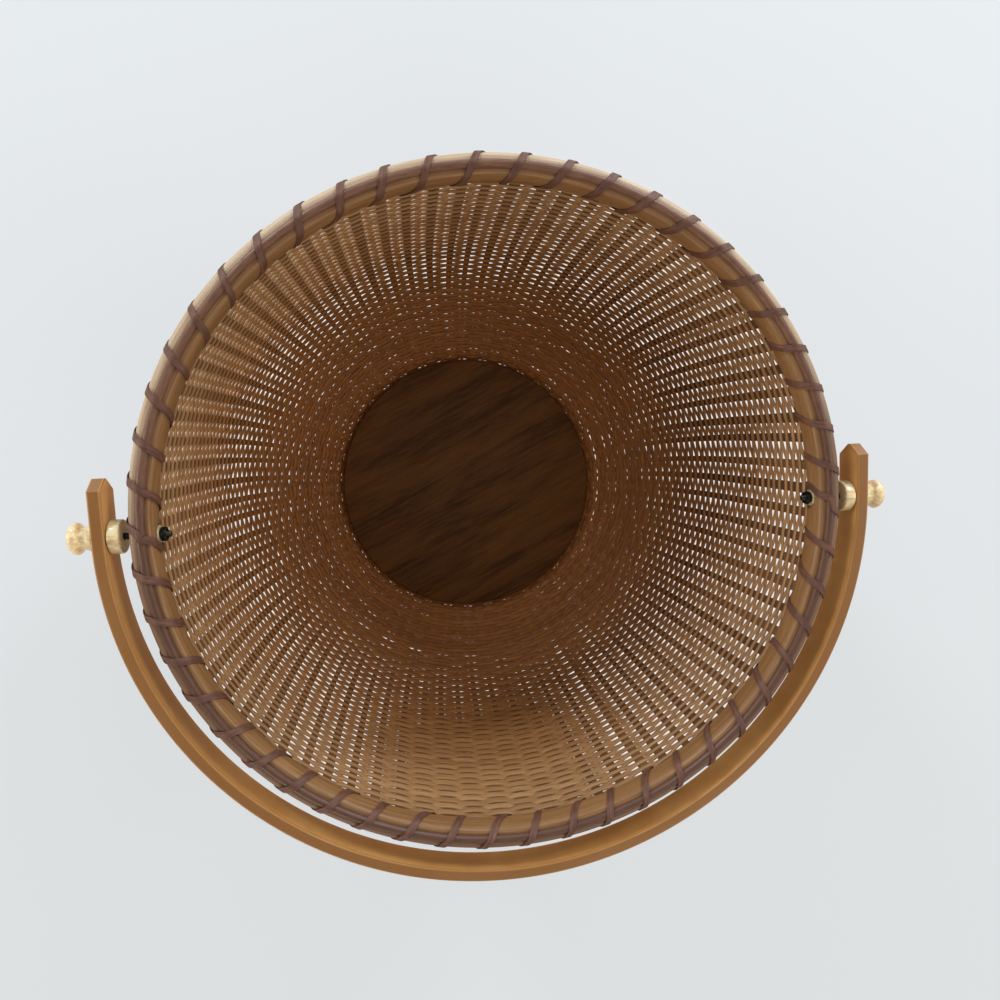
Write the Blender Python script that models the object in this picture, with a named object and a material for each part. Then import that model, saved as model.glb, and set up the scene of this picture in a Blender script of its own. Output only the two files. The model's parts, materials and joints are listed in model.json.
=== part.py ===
"""Round open basket: woven cane wall on a turned wooden base, lashed double-hoop rim, bent swing handle.

Metres, +Z up. The origin is the centre of the base's underside. The handle's pivots lie to
the +X and -X sides, and at rest the handle is laid over towards -Y, level with the rim.
"""

import math

import bmesh
import bpy
import numpy as np

# Fit between pieces that seat on each other
SEAT_GAP = 0.0003
CUT_OVERRUN = 0.0020

# Whole basket. The mouth is a slight oval: this share wider between the pivots and narrower across.
DEPTH = 0.1550
MOUTH_RADIUS = 0.1270
MOUTH_OVAL = 0.012

# Base: a turned disc with a groove round its edge for the wall's foot
BASE_RADIUS = 0.0708
BASE_THICKNESS = 0.0095
BASE_EDGE_CHAMFER = 0.0008
GROOVE_DEPTH = 0.0050
BASE_SEGMENTS = 77

# Wall: flat staves with plain weave over and under them, seen as one ribbed shell
STAVE_COUNT = 77
STAVE_PHASE_SHARE = 0.25
STAVE_WIDTH_AT_BASE = 0.0034
STAVE_WIDTH_AT_RIM = 0.0053
WALL_THICKNESS = 0.0020
WEAVE_THICKNESS = 0.0009
FOOT_STANDOFF = 0.0008
FOOT_ANGLE = math.radians(29)
FOOT_REACH = 0.0490
RIM_FLARE_ANGLE = math.radians(3)
RIM_REACH = 0.1116
CURVE_STATION_SHARES = (0.23, 0.40, 0.56, 0.74, 1.0)
LASHING_SLOT_HEIGHT = 0.0020

# Rim: half-round hoops inside and outside the wall's top, and a cane cap over the joint
HOOP_HEIGHT = 0.0106
HOOP_EDGE_THICKNESS = 0.0010
INNER_HOOP_THICKNESS = 0.0030
OUTER_HOOP_THICKNESS = 0.0040
HOOP_FACE_STEPS = 5
CAP_WIDTH = 0.0034
CAP_THICKNESS = 0.0016
CAP_EDGE_SHARE = 0.5
CAP_CROWN_SHARE = 0.55
RING_SEGMENTS = 77

# Lashing: one flat cane strip wound round the rim and through the wall
LASHING_TURNS = 52
LASHING_PHASE_SHARE = 0.516
LASHING_WIDTH = 0.0026
LASHING_THICKNESS = 0.0006
LASHING_LOWER_CORNER = 0.0016
LASHING_UPPER_CORNER = 0.0036
LASHING_END_GAP = 0.0010
LASHING_SLOT_PLAY = 0.0003

# Swing handle: bent wood, pivoted at both sides a little below the rim
PIVOT_DROP = 0.0090
BOW_CLEARANCE = 0.0082
HANDLE_THICKNESS = 0.0047
HANDLE_WIDTH = 0.0132
HANDLE_EDGE_CHAMFER = 0.0007
HANDLE_TAIL = 0.0210
HANDLE_TAIL_CLIP = 0.0042
HANDLE_TIP_WIDTH = 0.0020
HANDLE_ARC_STEPS = 40

# Pivot hardware, from the nut inside the basket to the knob outside
BOLT_RADIUS = 0.00125
BOLT_END_PROJECTION = 0.0014
BOLT_POINT_CHAMFER = 0.0004
NUT_ACROSS_FLATS = 0.0046
NUT_THICKNESS = 0.0020
WASHER_RADIUS = 0.0033
WASHER_THICKNESS = 0.0006
WASHER_SEAT_DEPTH = 0.0009
SPACER_RADIUS = 0.0062
SPACER_THICKNESS = 0.0042
SPACER_PLAY = 0.0026
SPACER_EDGE_ROUND = 0.0007
KNOB_LENGTH = 0.0095
KNOB_RADIUS = 0.0058
KNOB_FOOT_RADIUS = 0.0052
KNOB_FOOT_THICKNESS = 0.0012
KNOB_NECK_RADIUS = 0.0042
KNOB_NECK_SHARE = 0.38
KNOB_BELLY_SHARE = 0.62
KNOB_BORE_DEPTH = 0.0055
KNOB_DOME_STEPS = 5
HARDWARE_SEGMENTS = 18
HOLE_SEGMENTS = 16
SHARP_ANGLE = math.radians(35)

# Worked out from the sizes above
RIM_TOP = BASE_THICKNESS + DEPTH
BASE_MIDDLE = BASE_THICKNESS / 2
WALL_HALF = WALL_THICKNESS / 2
WALL_MID_RADIUS = MOUTH_RADIUS + WALL_HALF
HOOP_TOP = RIM_TOP - CAP_THICKNESS - SEAT_GAP
HOOP_LOW = HOOP_TOP - HOOP_HEIGHT
HOOP_MIDDLE = (HOOP_TOP + HOOP_LOW) / 2
INNER_HOOP_BACK = MOUTH_RADIUS - SEAT_GAP
OUTER_HOOP_BACK = MOUTH_RADIUS + WALL_THICKNESS + SEAT_GAP
INNER_HOOP_FACE = INNER_HOOP_BACK - INNER_HOOP_THICKNESS
OUTER_HOOP_FACE = OUTER_HOOP_BACK + OUTER_HOOP_THICKNESS
LASHING_STANDOFF = SEAT_GAP + LASHING_THICKNESS / 2
OVAL_FULL_RADIUS = INNER_HOOP_FACE - LASHING_STANDOFF - LASHING_THICKNESS
SIDE_STRETCH = 1 + MOUTH_OVAL
FRONT_STRETCH = 1 - MOUTH_OVAL
INNER_HOOP_SIDE = INNER_HOOP_FACE * SIDE_STRETCH
OUTER_HOOP_SIDE = OUTER_HOOP_FACE * SIDE_STRETCH
LASHING_LOW = HOOP_LOW - LASHING_STANDOFF
SLOT_LOW = LASHING_LOW - LASHING_SLOT_HEIGHT / 2
SLOT_HIGH = LASHING_LOW + LASHING_SLOT_HEIGHT / 2
STAVE_PITCH_ANGLE = math.tau / STAVE_COUNT
PIVOT_HEIGHT = RIM_TOP - PIVOT_DROP
HOLE_RADIUS = BOLT_RADIUS + SEAT_GAP
WASHER_SEAT = INNER_HOOP_SIDE + WASHER_SEAT_DEPTH
SPACER_START = OUTER_HOOP_SIDE + SPACER_PLAY
HANDLE_SIDE_INNER = SPACER_START + SPACER_THICKNESS + SEAT_GAP
HANDLE_SIDE_OUTER = HANDLE_SIDE_INNER + HANDLE_THICKNESS
HANDLE_FRONT_INNER = OUTER_HOOP_FACE * FRONT_STRETCH + BOW_CLEARANCE
KNOB_START = HANDLE_SIDE_OUTER + SEAT_GAP
PIVOT_CENTRE = (0.0, 0.0, PIVOT_HEIGHT)


def remove_scene_objects():
    """Empty the scene before the basket is built."""
    for item in list(bpy.data.objects):
        bpy.data.objects.remove(item, do_unlink=True)


def linear_colour(hex_code):
    """Turn an sRGB hex code into a linear colour with full alpha."""
    channels = [int(hex_code[i:i + 2], 16) / 255 for i in (0, 2, 4)]
    linear = [c / 12.92 if c <= 0.04045 else ((c + 0.055) / 1.055) ** 2.4 for c in channels]
    return (*linear, 1.0)


def make_material(name, hex_code, roughness, metallic):
    """Make a Principled material of one colour."""
    material = bpy.data.materials.new(name)
    material.use_nodes = True
    shader = material.node_tree.nodes["Principled BSDF"]
    shader.inputs["Base Color"].default_value = linear_colour(hex_code)
    shader.inputs["Roughness"].default_value = roughness
    shader.inputs["Metallic"].default_value = metallic
    material.diffuse_color = linear_colour(hex_code)
    return material


def mesh_from_faces(name, points, faces, material):
    """Make a closed mesh from points and faces, its faces turned outwards and its round sides smooth."""
    mesh = bpy.data.meshes.new(name)
    mesh.from_pydata([tuple(p) for p in points], [], faces)
    return finish_mesh(mesh, material)


def finish_mesh(mesh, material):
    """Turn a mesh's faces outwards, shade its round sides smooth and give it its material."""
    shape = bmesh.new()
    shape.from_mesh(mesh)
    bmesh.ops.recalc_face_normals(shape, faces=shape.faces)
    shape.to_mesh(mesh)
    shape.free()
    mesh.shade_smooth()
    mesh.set_sharp_from_angle(angle=SHARP_ANGLE)
    mesh.materials.append(material)
    return mesh


def place(name, mesh, location=(0.0, 0.0, 0.0), turn=0.0):
    """Put a mesh in the scene as a named object, turned about Z."""
    item = bpy.data.objects.new(name, mesh)
    item.location = location
    item.rotation_euler = (0.0, 0.0, turn)
    bpy.context.scene.collection.objects.link(item)
    return item


def ovalled(points):
    """Stretch points to the oval mouth: wider between the pivots and narrower across.

    The stretch grows from nothing at the base's edge to its full share inside the rim.
    """
    points = np.array(points, dtype=float)
    radius = np.hypot(points[..., 0], points[..., 1])
    share = np.clip((radius - BASE_RADIUS) / (OVAL_FULL_RADIUS - BASE_RADIUS), 0, 1)
    points[..., 0] *= 1 + MOUTH_OVAL * share
    points[..., 1] *= 1 - MOUTH_OVAL * share
    return points


def turned_mesh(name, outline, segments, material, along_x=False, closed=False, oval=False):
    """Spin an outline of (radius, place along the axis) once round Z, or round X when along_x is set.

    An outline that isn't closed starts and ends on the axis.
    """
    shape = bmesh.new()
    axis = (1.0, 0.0, 0.0) if along_x else (0.0, 0.0, 1.0)
    points = [(along, 0.0, radius) if along_x else (radius, 0.0, along) for radius, along in outline]
    corners = [shape.verts.new(point) for point in points]
    following = corners[1:] + corners[:1] if closed else corners[1:]
    edges = [shape.edges.new(pair) for pair in zip(corners, following)]
    bmesh.ops.spin(shape, geom=corners + edges, cent=(0.0, 0.0, 0.0), axis=axis, angle=math.tau,
                   steps=segments, use_merge=True, use_duplicate=False)
    bmesh.ops.remove_doubles(shape, verts=shape.verts, dist=SEAT_GAP / 100)
    if oval:
        for vertex in shape.verts:
            vertex.co = ovalled(vertex.co)
    mesh = bpy.data.meshes.new(name)
    shape.to_mesh(mesh)
    shape.free()
    return finish_mesh(mesh, material)


def swept_mesh(name, sections, material):
    """Join a row of matching sections into one tube with both ends filled."""
    rows, sides, _ = sections.shape
    faces = []
    for i in range(rows - 1):
        for j in range(sides):
            k = (j + 1) % sides
            faces.append((i * sides + j, i * sides + k, (i + 1) * sides + k, (i + 1) * sides + j))
    faces.append(tuple(range(sides)))
    faces.append(tuple(range((rows - 1) * sides, rows * sides)))
    return mesh_from_faces(name, sections.reshape(-1, 3), faces, material)


def cut_along_x(target, name, radius, start, end):
    """Cut a round hole along the pivots' line, from start to end, mirrored to the other side."""
    for side, sign in (("right", 1), ("left", -1)):
        shape = bmesh.new()
        bmesh.ops.create_cone(shape, cap_ends=True, segments=HOLE_SEGMENTS, radius1=radius, radius2=radius,
                              depth=end - start)
        mesh = bpy.data.meshes.new(f"{name}_{side}")
        shape.to_mesh(mesh)
        shape.free()
        cutter = bpy.data.objects.new(f"{name}_{side}", mesh)
        cutter.rotation_euler = (0.0, math.pi / 2, 0.0)
        cutter.location = (sign * (start + end) / 2, 0.0, PIVOT_HEIGHT)
        cutter.display_type = "WIRE"
        cutter.hide_render = True
        bpy.context.scene.collection.objects.link(cutter)
        cut = target.modifiers.new(f"{name}_{side}", "BOOLEAN")
        cut.operation = "DIFFERENCE"
        cut.solver = "EXACT"
        cut.object = cutter


def make_base(material):
    """Turn the wooden base, with eased edges and the groove that holds the wall's foot."""
    groove_half = WALL_HALF + SEAT_GAP
    outline = [
        (0.0, 0.0),
        (BASE_RADIUS - BASE_EDGE_CHAMFER, 0.0),
        (BASE_RADIUS, BASE_EDGE_CHAMFER),
        (BASE_RADIUS, BASE_MIDDLE - groove_half),
        (BASE_RADIUS - GROOVE_DEPTH, BASE_MIDDLE - groove_half),
        (BASE_RADIUS - GROOVE_DEPTH, BASE_MIDDLE + groove_half),
        (BASE_RADIUS, BASE_MIDDLE + groove_half),
        (BASE_RADIUS, BASE_THICKNESS - BASE_EDGE_CHAMFER),
        (BASE_RADIUS - BASE_EDGE_CHAMFER, BASE_THICKNESS),
        (0.0, BASE_THICKNESS),
    ]
    return place("base_disc", turned_mesh("base_disc", outline, BASE_SEGMENTS, material))


def wall_curve():
    """Middle of the wall as (radius, height) from the groove's floor to the top.

    The wall leaves the groove level, bends up at the foot angle and rises on one cubic curve to the lashing
    slots, where it stands nearly upright, and then runs straight up between the hoops.
    """
    foot = np.array([BASE_RADIUS + FOOT_STANDOFF, BASE_MIDDLE])
    shoulder = np.array([WALL_MID_RADIUS, SLOT_LOW])
    from_foot = foot + FOOT_REACH * np.array([math.cos(FOOT_ANGLE), math.sin(FOOT_ANGLE)])
    from_rim = shoulder - RIM_REACH * np.array([math.sin(RIM_FLARE_ANGLE), math.cos(RIM_FLARE_ANGLE)])
    share = np.array(CURVE_STATION_SHARES)[:, None]
    rest = 1 - share
    curve = (rest ** 3 * foot + 3 * rest ** 2 * share * from_foot
             + 3 * rest * share ** 2 * from_rim + share ** 3 * shoulder)
    tongue = np.array([BASE_RADIUS - GROOVE_DEPTH + SEAT_GAP, BASE_MIDDLE])
    slot_top = np.array([WALL_MID_RADIUS, SLOT_HIGH])
    top = np.array([WALL_MID_RADIUS, HOOP_TOP])
    return np.vstack([tongue, foot, curve, slot_top, top])


def outward_normals(curve):
    """Unit normals of a (radius, height) curve, pointing to the outside of the basket."""
    step = np.gradient(curve, axis=0)
    step[0] = curve[1] - curve[0]
    step[-1] = curve[-1] - curve[-2]
    normal = np.stack([step[:, 1], -step[:, 0]], axis=1)
    return normal / np.linalg.norm(normal, axis=1, keepdims=True)


def lashing_passes():
    """Angles at which the lashing goes through the wall, and the gap between staves that each one takes.

    The passes are spaced evenly, then each moves to the middle of the nearest gap, less its slot's play.
    """
    even = -(np.arange(LASHING_TURNS) - LASHING_PHASE_SHARE) * math.tau / LASHING_TURNS
    gap = np.round(even / STAVE_PITCH_ANGLE - STAVE_PHASE_SHARE - 0.5).astype(int)
    middle = (gap + STAVE_PHASE_SHARE + 0.5) * STAVE_PITCH_ANGLE
    play = LASHING_SLOT_PLAY / WALL_MID_RADIUS
    return middle + np.clip(even - middle, -play, play), gap % STAVE_COUNT


def wall_points():
    """Points of the ribbed wall: three columns a stave, each up the inside and down the outside."""
    curve = wall_curve()
    normal = outward_normals(curve)
    run = np.concatenate([[0], np.cumsum(np.linalg.norm(np.diff(curve, axis=0), axis=1))])
    run_share = run / run[-1]
    width = STAVE_WIDTH_AT_BASE + (STAVE_WIDTH_AT_RIM - STAVE_WIDTH_AT_BASE) * run_share
    half_angle = width / 2 / curve[:, 0]
    columns = []
    for stave in range(STAVE_COUNT):
        centre = (stave + STAVE_PHASE_SHARE) * STAVE_PITCH_ANGLE
        gap_centre = centre + STAVE_PITCH_ANGLE / 2
        edges = ((centre - half_angle, WALL_HALF), (centre + half_angle, WALL_HALF),
                 (np.full_like(half_angle, gap_centre), WEAVE_THICKNESS / 2))
        for angle, half in edges:
            inside = curve - normal * half
            outside = curve + normal * half
            loop = np.vstack([inside, outside[::-1]])
            turn = np.concatenate([angle, angle[::-1]])
            around = loop[:, :1] * np.stack([np.cos(turn), np.sin(turn)], axis=1)
            columns.append(np.hstack([around, loop[:, 1:]]))
    return ovalled(columns), len(curve)


def make_wall(material):
    """Build the wall shell, open where each turn of the lashing passes through a gap between two staves."""
    columns, side = wall_points()
    count, loop, _ = columns.shape
    slot_row = side - 3
    _, gaps = lashing_passes()
    slot_cells = {3 * gap + offset for gap in gaps for offset in (1, 2)}
    faces = []

    def corner(column, row):
        return column % count * loop + row

    for i in range(count):
        for j in range(loop):
            facing = j in (slot_row, loop - 2 - slot_row)
            if facing and i in slot_cells:
                continue
            k = (j + 1) % loop
            faces.append((corner(i, j), corner(i, k), corner(i + 1, k), corner(i + 1, j)))
    low = (slot_row, loop - 1 - slot_row)
    high = (slot_row + 1, loop - 2 - slot_row)
    for i in sorted(slot_cells):
        for inner, outer in (low, high):
            faces.append((corner(i, inner), corner(i + 1, inner), corner(i + 1, outer), corner(i, outer)))
    for gap in sorted(set(gaps)):
        for i in (3 * gap + 1, 3 * gap + 3):
            faces.append((corner(i, low[0]), corner(i, low[1]), corner(i, high[1]), corner(i, high[0])))
    wall = place("woven_wall", mesh_from_faces("woven_wall", columns.reshape(-1, 3), faces, material))
    cut_along_x(wall, "wall_bolt_hole", HOLE_RADIUS, MOUTH_RADIUS * SIDE_STRETCH - CUT_OVERRUN,
                (MOUTH_RADIUS + WALL_THICKNESS) * SIDE_STRETCH + CUT_OVERRUN)
    return wall


def hoop_outline(back, thickness):
    """Half-round section with its flat back against the wall; a negative thickness bulges inwards."""
    sign = math.copysign(1, thickness)
    bulge = abs(thickness) - HOOP_EDGE_THICKNESS
    outline = [(back, HOOP_TOP), (back, HOOP_LOW)]
    for step in range(HOOP_FACE_STEPS):
        angle = math.pi * (step / (HOOP_FACE_STEPS - 1) - 0.5)
        reach = HOOP_EDGE_THICKNESS + bulge * math.cos(angle)
        outline.append((back + sign * reach, HOOP_MIDDLE + HOOP_HEIGHT / 2 * math.sin(angle)))
    return outline


def make_hoops(material):
    """Bend both half-round hoops, with holes for the bolts and flat seats for the washers."""
    hoops = []
    for name, back, thickness in (("inner_hoop", INNER_HOOP_BACK, -INNER_HOOP_THICKNESS),
                                  ("outer_hoop", OUTER_HOOP_BACK, OUTER_HOOP_THICKNESS)):
        outline = hoop_outline(back, thickness)
        mesh = turned_mesh(name, outline, RING_SEGMENTS, material, closed=True, oval=True)
        hoops.append(place(name, mesh))
    inner, outer = hoops
    cut_along_x(inner, "inner_hoop_bolt_hole", HOLE_RADIUS, INNER_HOOP_SIDE - CUT_OVERRUN,
                INNER_HOOP_BACK * SIDE_STRETCH + CUT_OVERRUN)
    cut_along_x(inner, "washer_seat", WASHER_RADIUS + SEAT_GAP, INNER_HOOP_SIDE - CUT_OVERRUN, WASHER_SEAT)
    cut_along_x(outer, "outer_hoop_bolt_hole", HOLE_RADIUS, OUTER_HOOP_BACK * SIDE_STRETCH - CUT_OVERRUN,
                OUTER_HOOP_SIDE + CUT_OVERRUN)


def make_cap(material):
    """Lay the crowned cane cap over the wall's top edge and the hoops' inner edges."""
    low = RIM_TOP - CAP_THICKNESS
    edge = low + CAP_THICKNESS * CAP_EDGE_SHARE
    middle = WALL_MID_RADIUS
    inside = middle - CAP_WIDTH / 2
    outside = middle + CAP_WIDTH / 2
    crown = CAP_WIDTH / 2 * CAP_CROWN_SHARE
    outline = [(inside, low), (outside, low), (outside, edge), (middle + crown, RIM_TOP),
               (middle - crown, RIM_TOP), (inside, edge)]
    return place("rim_cap", turned_mesh("rim_cap", outline, RING_SEGMENTS, material, closed=True, oval=True))


def lashing_loop():
    """One turn of the lashing in section: corners as (radius, height), their shares of it and its length.

    The turn starts at the wall under the hoops and goes inside, up, over the cap and down the outside.
    """
    inside = INNER_HOOP_FACE - LASHING_STANDOFF
    outside = OUTER_HOOP_FACE + LASHING_STANDOFF
    top = RIM_TOP + LASHING_STANDOFF
    lower, upper = LASHING_LOWER_CORNER, LASHING_UPPER_CORNER
    corners = np.array([
        (inside + lower, LASHING_LOW), (inside, LASHING_LOW + lower),
        (inside, top - upper), (inside + upper, top),
        (outside - upper, top), (outside, top - upper),
        (outside, LASHING_LOW + lower), (outside - lower, LASHING_LOW),
    ])
    start = np.array([[WALL_MID_RADIUS, LASHING_LOW]])
    way = np.vstack([start, corners, start])
    run = np.concatenate([[0], np.cumsum(np.linalg.norm(np.diff(way, axis=0), axis=1))])
    return corners, run[1:-1] / run[-1], run[-1]


def steer_past_pivots(angles, need):
    """Move a stretch of the strip aside, all to one side, where it comes nearer than need to a pivot."""
    for pivot in (0.0, math.pi):
        off = (angles - pivot + math.pi) % math.tau - math.pi
        side = math.copysign(1, off.mean())
        angles = angles + side * np.clip(need - side * off, 0, None) * (np.abs(off.mean()) < math.pi / 2)
    return angles


def lashing_path():
    """Middle of the strip and its outward direction at each corner of each turn."""
    passes, _ = lashing_passes()
    corners, shares, turn_length = lashing_loop()
    slant = math.atan2(math.tau * WALL_MID_RADIUS / LASHING_TURNS, turn_length)
    half_width = LASHING_WIDTH / 2 / math.cos(slant)
    need_inside = (WASHER_RADIUS + half_width + SEAT_GAP) / INNER_HOOP_FACE
    need_outside = (BOLT_RADIUS + half_width + SEAT_GAP) / OUTER_HOOP_FACE
    edge = np.roll(corners, -1, axis=0) - np.roll(corners, 1, axis=0)
    lean = np.stack([-edge[:, 1], edge[:, 0]], axis=1)
    lean /= np.linalg.norm(lean, axis=1, keepdims=True)
    end_share = LASHING_END_GAP / 2 / turn_length
    end_radius = LASHING_END_GAP / 2
    following = np.append(passes[1:], passes[0] - math.tau)
    stations = [(passes[0] + end_share * (following[0] - passes[0]), WALL_MID_RADIUS - end_radius,
                 LASHING_LOW, 0.0, -1.0)]
    for start, stop in zip(passes, following):
        angles = start + (stop - start) * shares
        angles[1:3] = steer_past_pivots(angles[1:3], need_inside)
        angles[5:7] = steer_past_pivots(angles[5:7], need_outside)
        for angle, (radius, height), (lean_r, lean_z) in zip(angles, corners, lean):
            stations.append((angle, radius, height, lean_r, lean_z))
    stations.append((following[-1] - end_share * (following[-1] - passes[-1]), WALL_MID_RADIUS + end_radius,
                     LASHING_LOW, 0.0, -1.0))
    angle, radius, height, lean_r, lean_z = np.array(stations).T
    middle = np.stack([radius * np.cos(angle), radius * np.sin(angle), height], axis=1)
    outward = np.stack([lean_r * np.cos(angle), lean_r * np.sin(angle), lean_z], axis=1)
    return ovalled(middle), outward


def least_gap_to_itself(sections):
    """Smallest distance between points of the strip that lie at least half a turn apart along it."""
    rows, sides, _ = sections.shape
    half_turn = 4
    least = math.inf
    points = sections.reshape(-1, 3)
    row_of = np.repeat(np.arange(rows), sides)
    for row in range(rows):
        others = points[row_of > row + half_turn]
        if len(others):
            apart = np.linalg.norm(others[:, None] - sections[row][None], axis=2)
            least = min(least, apart.min())
    return least


def make_lashing(material):
    """Wind the flat strip round the rim in one unbroken run."""
    middle, outward = lashing_path()
    along = np.gradient(middle, axis=0)
    along /= np.linalg.norm(along, axis=1, keepdims=True)
    across = np.cross(along, outward)
    across /= np.linalg.norm(across, axis=1, keepdims=True)
    face = np.cross(across, along)
    aside = across * LASHING_WIDTH / 2
    up = face * LASHING_THICKNESS / 2
    offsets = np.stack([-aside - up, aside - up, aside + up, -aside + up], axis=1)
    sections = middle[:, None] + offsets
    print(f"lashing least gap to itself: {least_gap_to_itself(sections) * 1000:.2f} mm")
    return place("rim_lashing", swept_mesh("rim_lashing", sections, material))


def handle_section(width):
    """Section of the handle as (thickness way, width way) offsets, with its long edges chamfered."""
    t, w = HANDLE_THICKNESS / 2, width / 2
    c = HANDLE_EDGE_CHAMFER
    return np.array([(-t, -w + c), (-t + c, -w), (t - c, -w), (t, -w + c),
                     (t, w - c), (t - c, w), (-t + c, w), (-t, w - c)])


def make_handle(material):
    """Bend the handle to a half oval with straight tails past both pivots, clipped to a blunt point."""
    side = HANDLE_SIDE_INNER + HANDLE_THICKNESS / 2
    front = HANDLE_FRONT_INNER + HANDLE_THICKNESS / 2
    shoulder = HANDLE_TAIL - HANDLE_TAIL_CLIP
    stations = [(0.0, HANDLE_TAIL, HANDLE_TIP_WIDTH), (0.0, shoulder, HANDLE_WIDTH)]
    for step in range(HANDLE_ARC_STEPS + 1):
        stations.append((-math.pi * step / HANDLE_ARC_STEPS, 0.0, HANDLE_WIDTH))
    stations += [(-math.pi, shoulder, HANDLE_WIDTH), (-math.pi, HANDLE_TAIL, HANDLE_TIP_WIDTH)]
    sections = []
    for angle, tail, width in stations:
        offsets = handle_section(width)
        x = (side + offsets[:, 0]) * math.cos(angle)
        y = (front + offsets[:, 0]) * math.sin(angle) + tail
        sections.append(np.stack([x, y, offsets[:, 1]], axis=1))
    handle = place("swing_handle", swept_mesh("swing_handle", np.array(sections), material), PIVOT_CENTRE)
    cut_along_x(handle, "handle_bolt_hole", HOLE_RADIUS, HANDLE_SIDE_INNER - CUT_OVERRUN,
                HANDLE_SIDE_OUTER + CUT_OVERRUN)
    return handle


def bolt_mesh(material):
    """Plain round bolt from inside the nut to the bottom of the knob's bore, its ends eased."""
    start = WASHER_SEAT - WASHER_THICKNESS - NUT_THICKNESS - 2 * SEAT_GAP - BOLT_END_PROJECTION
    end = KNOB_START + KNOB_BORE_DEPTH - SEAT_GAP
    ease = BOLT_POINT_CHAMFER
    outline = [(0.0, start), (BOLT_RADIUS - ease, start), (BOLT_RADIUS, start + ease),
               (BOLT_RADIUS, end - ease), (BOLT_RADIUS - ease, end), (0.0, end)]
    return turned_mesh("pivot_bolt", outline, HOLE_SEGMENTS, material, along_x=True)


def washer_mesh(material):
    """Flat washer on its seat in the inner hoop."""
    end = WASHER_SEAT - SEAT_GAP
    start = end - WASHER_THICKNESS
    outline = [(HOLE_RADIUS, start), (WASHER_RADIUS, start), (WASHER_RADIUS, end), (HOLE_RADIUS, end)]
    return turned_mesh("pivot_washer", outline, HARDWARE_SEGMENTS, material, along_x=True, closed=True)


def nut_mesh(material):
    """Hexagonal nut against the washer, with its bore clear of the bolt."""
    end = WASHER_SEAT - WASHER_THICKNESS - 2 * SEAT_GAP
    start = end - NUT_THICKNESS
    corner_radius = NUT_ACROSS_FLATS / 2 / math.cos(math.pi / 6)
    rings = []
    for radius, along, sides in ((HOLE_RADIUS, start, HARDWARE_SEGMENTS), (corner_radius, start, 6),
                                 (corner_radius, end, 6), (HOLE_RADIUS, end, HARDWARE_SEGMENTS)):
        per_side = HARDWARE_SEGMENTS // sides
        ring = []
        for step in range(HARDWARE_SEGMENTS):
            low = step // per_side * math.tau / sides
            high = low + math.tau / sides
            blend = step % per_side / per_side
            y = radius * ((1 - blend) * math.sin(low) + blend * math.sin(high))
            z = radius * ((1 - blend) * math.cos(low) + blend * math.cos(high))
            ring.append((along, y, z))
        rings.append(ring)
    faces = []
    for ring in range(4):
        following = (ring + 1) % 4
        for i in range(HARDWARE_SEGMENTS):
            k = (i + 1) % HARDWARE_SEGMENTS
            faces.append((ring * HARDWARE_SEGMENTS + i, ring * HARDWARE_SEGMENTS + k,
                          following * HARDWARE_SEGMENTS + k, following * HARDWARE_SEGMENTS + i))
    points = [point for ring in rings for point in ring]
    return mesh_from_faces("pivot_nut", points, faces, material)


def spacer_mesh(material):
    """Thick bone washer against the handle's inner face, with play to the outer hoop, its rim eased."""
    start = SPACER_START
    end = start + SPACER_THICKNESS
    ease = SPACER_EDGE_ROUND
    outline = [(HOLE_RADIUS, start), (SPACER_RADIUS - ease, start), (SPACER_RADIUS, start + ease),
               (SPACER_RADIUS, end - ease), (SPACER_RADIUS - ease, end), (HOLE_RADIUS, end)]
    return turned_mesh("bone_spacer", outline, HARDWARE_SEGMENTS, material, along_x=True, closed=True)


def knob_mesh(material):
    """Turned bone knob: a foot, a neck and a domed head, with a blind bore for the bolt."""
    start = KNOB_START
    foot_end = start + KNOB_FOOT_THICKNESS
    neck = start + KNOB_LENGTH * KNOB_NECK_SHARE
    belly = start + KNOB_LENGTH * KNOB_BELLY_SHARE
    dome = KNOB_LENGTH * (1 - KNOB_BELLY_SHARE)
    outline = [(0.0, start + KNOB_BORE_DEPTH), (HOLE_RADIUS, start + KNOB_BORE_DEPTH), (HOLE_RADIUS, start),
               (KNOB_FOOT_RADIUS, start), (KNOB_FOOT_RADIUS, foot_end), (KNOB_NECK_RADIUS, neck)]
    for step in range(KNOB_DOME_STEPS + 1):
        angle = math.pi / 2 * step / KNOB_DOME_STEPS
        outline.append((KNOB_RADIUS * math.cos(angle), belly + dome * math.sin(angle)))
    outline[-1] = (0.0, belly + dome)
    return turned_mesh("bone_knob", outline, HARDWARE_SEGMENTS, material, along_x=True)


def make_pivots(bone, steel):
    """Place one set of pivot hardware at each side; the left set is the right one turned half round."""
    meshes = (bolt_mesh(steel), washer_mesh(steel), nut_mesh(steel), spacer_mesh(bone), knob_mesh(bone))
    for side, turn in (("right", 0.0), ("left", math.pi)):
        for mesh in meshes:
            place(f"{mesh.name}_{side}", mesh, PIVOT_CENTRE, turn)


def main():
    """Build the basket from the base upwards."""
    remove_scene_objects()
    make_base(make_material("walnut", "4A3322", 0.5, 0.0))
    make_wall(make_material("woven_cane", "9A6F47", 0.6, 0.0))
    make_hoops(make_material("rattan_hoop", "A37C50", 0.5, 0.0))
    make_cap(make_material("cap_cane", "7A5B4C", 0.45, 0.0))
    make_lashing(make_material("lashing_cane", "6A4A40", 0.45, 0.0))
    make_handle(make_material("bent_ash", "A4692F", 0.4, 0.0))
    make_pivots(make_material("bone", "E4D7B4", 0.35, 0.0), make_material("steel", "4A4844", 0.4, 1.0))


main()
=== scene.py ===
"""Dress the round woven basket: interlaced cane on wooden staves, a lashed rim, a bent handle and bone pivots.

Metres, +Z up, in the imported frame. Each sub-assembly is a class whose fields are its sizes and whose methods
make its meshes and dress them. Each finish is a frozen dataclass that makes one material.
"""

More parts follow.
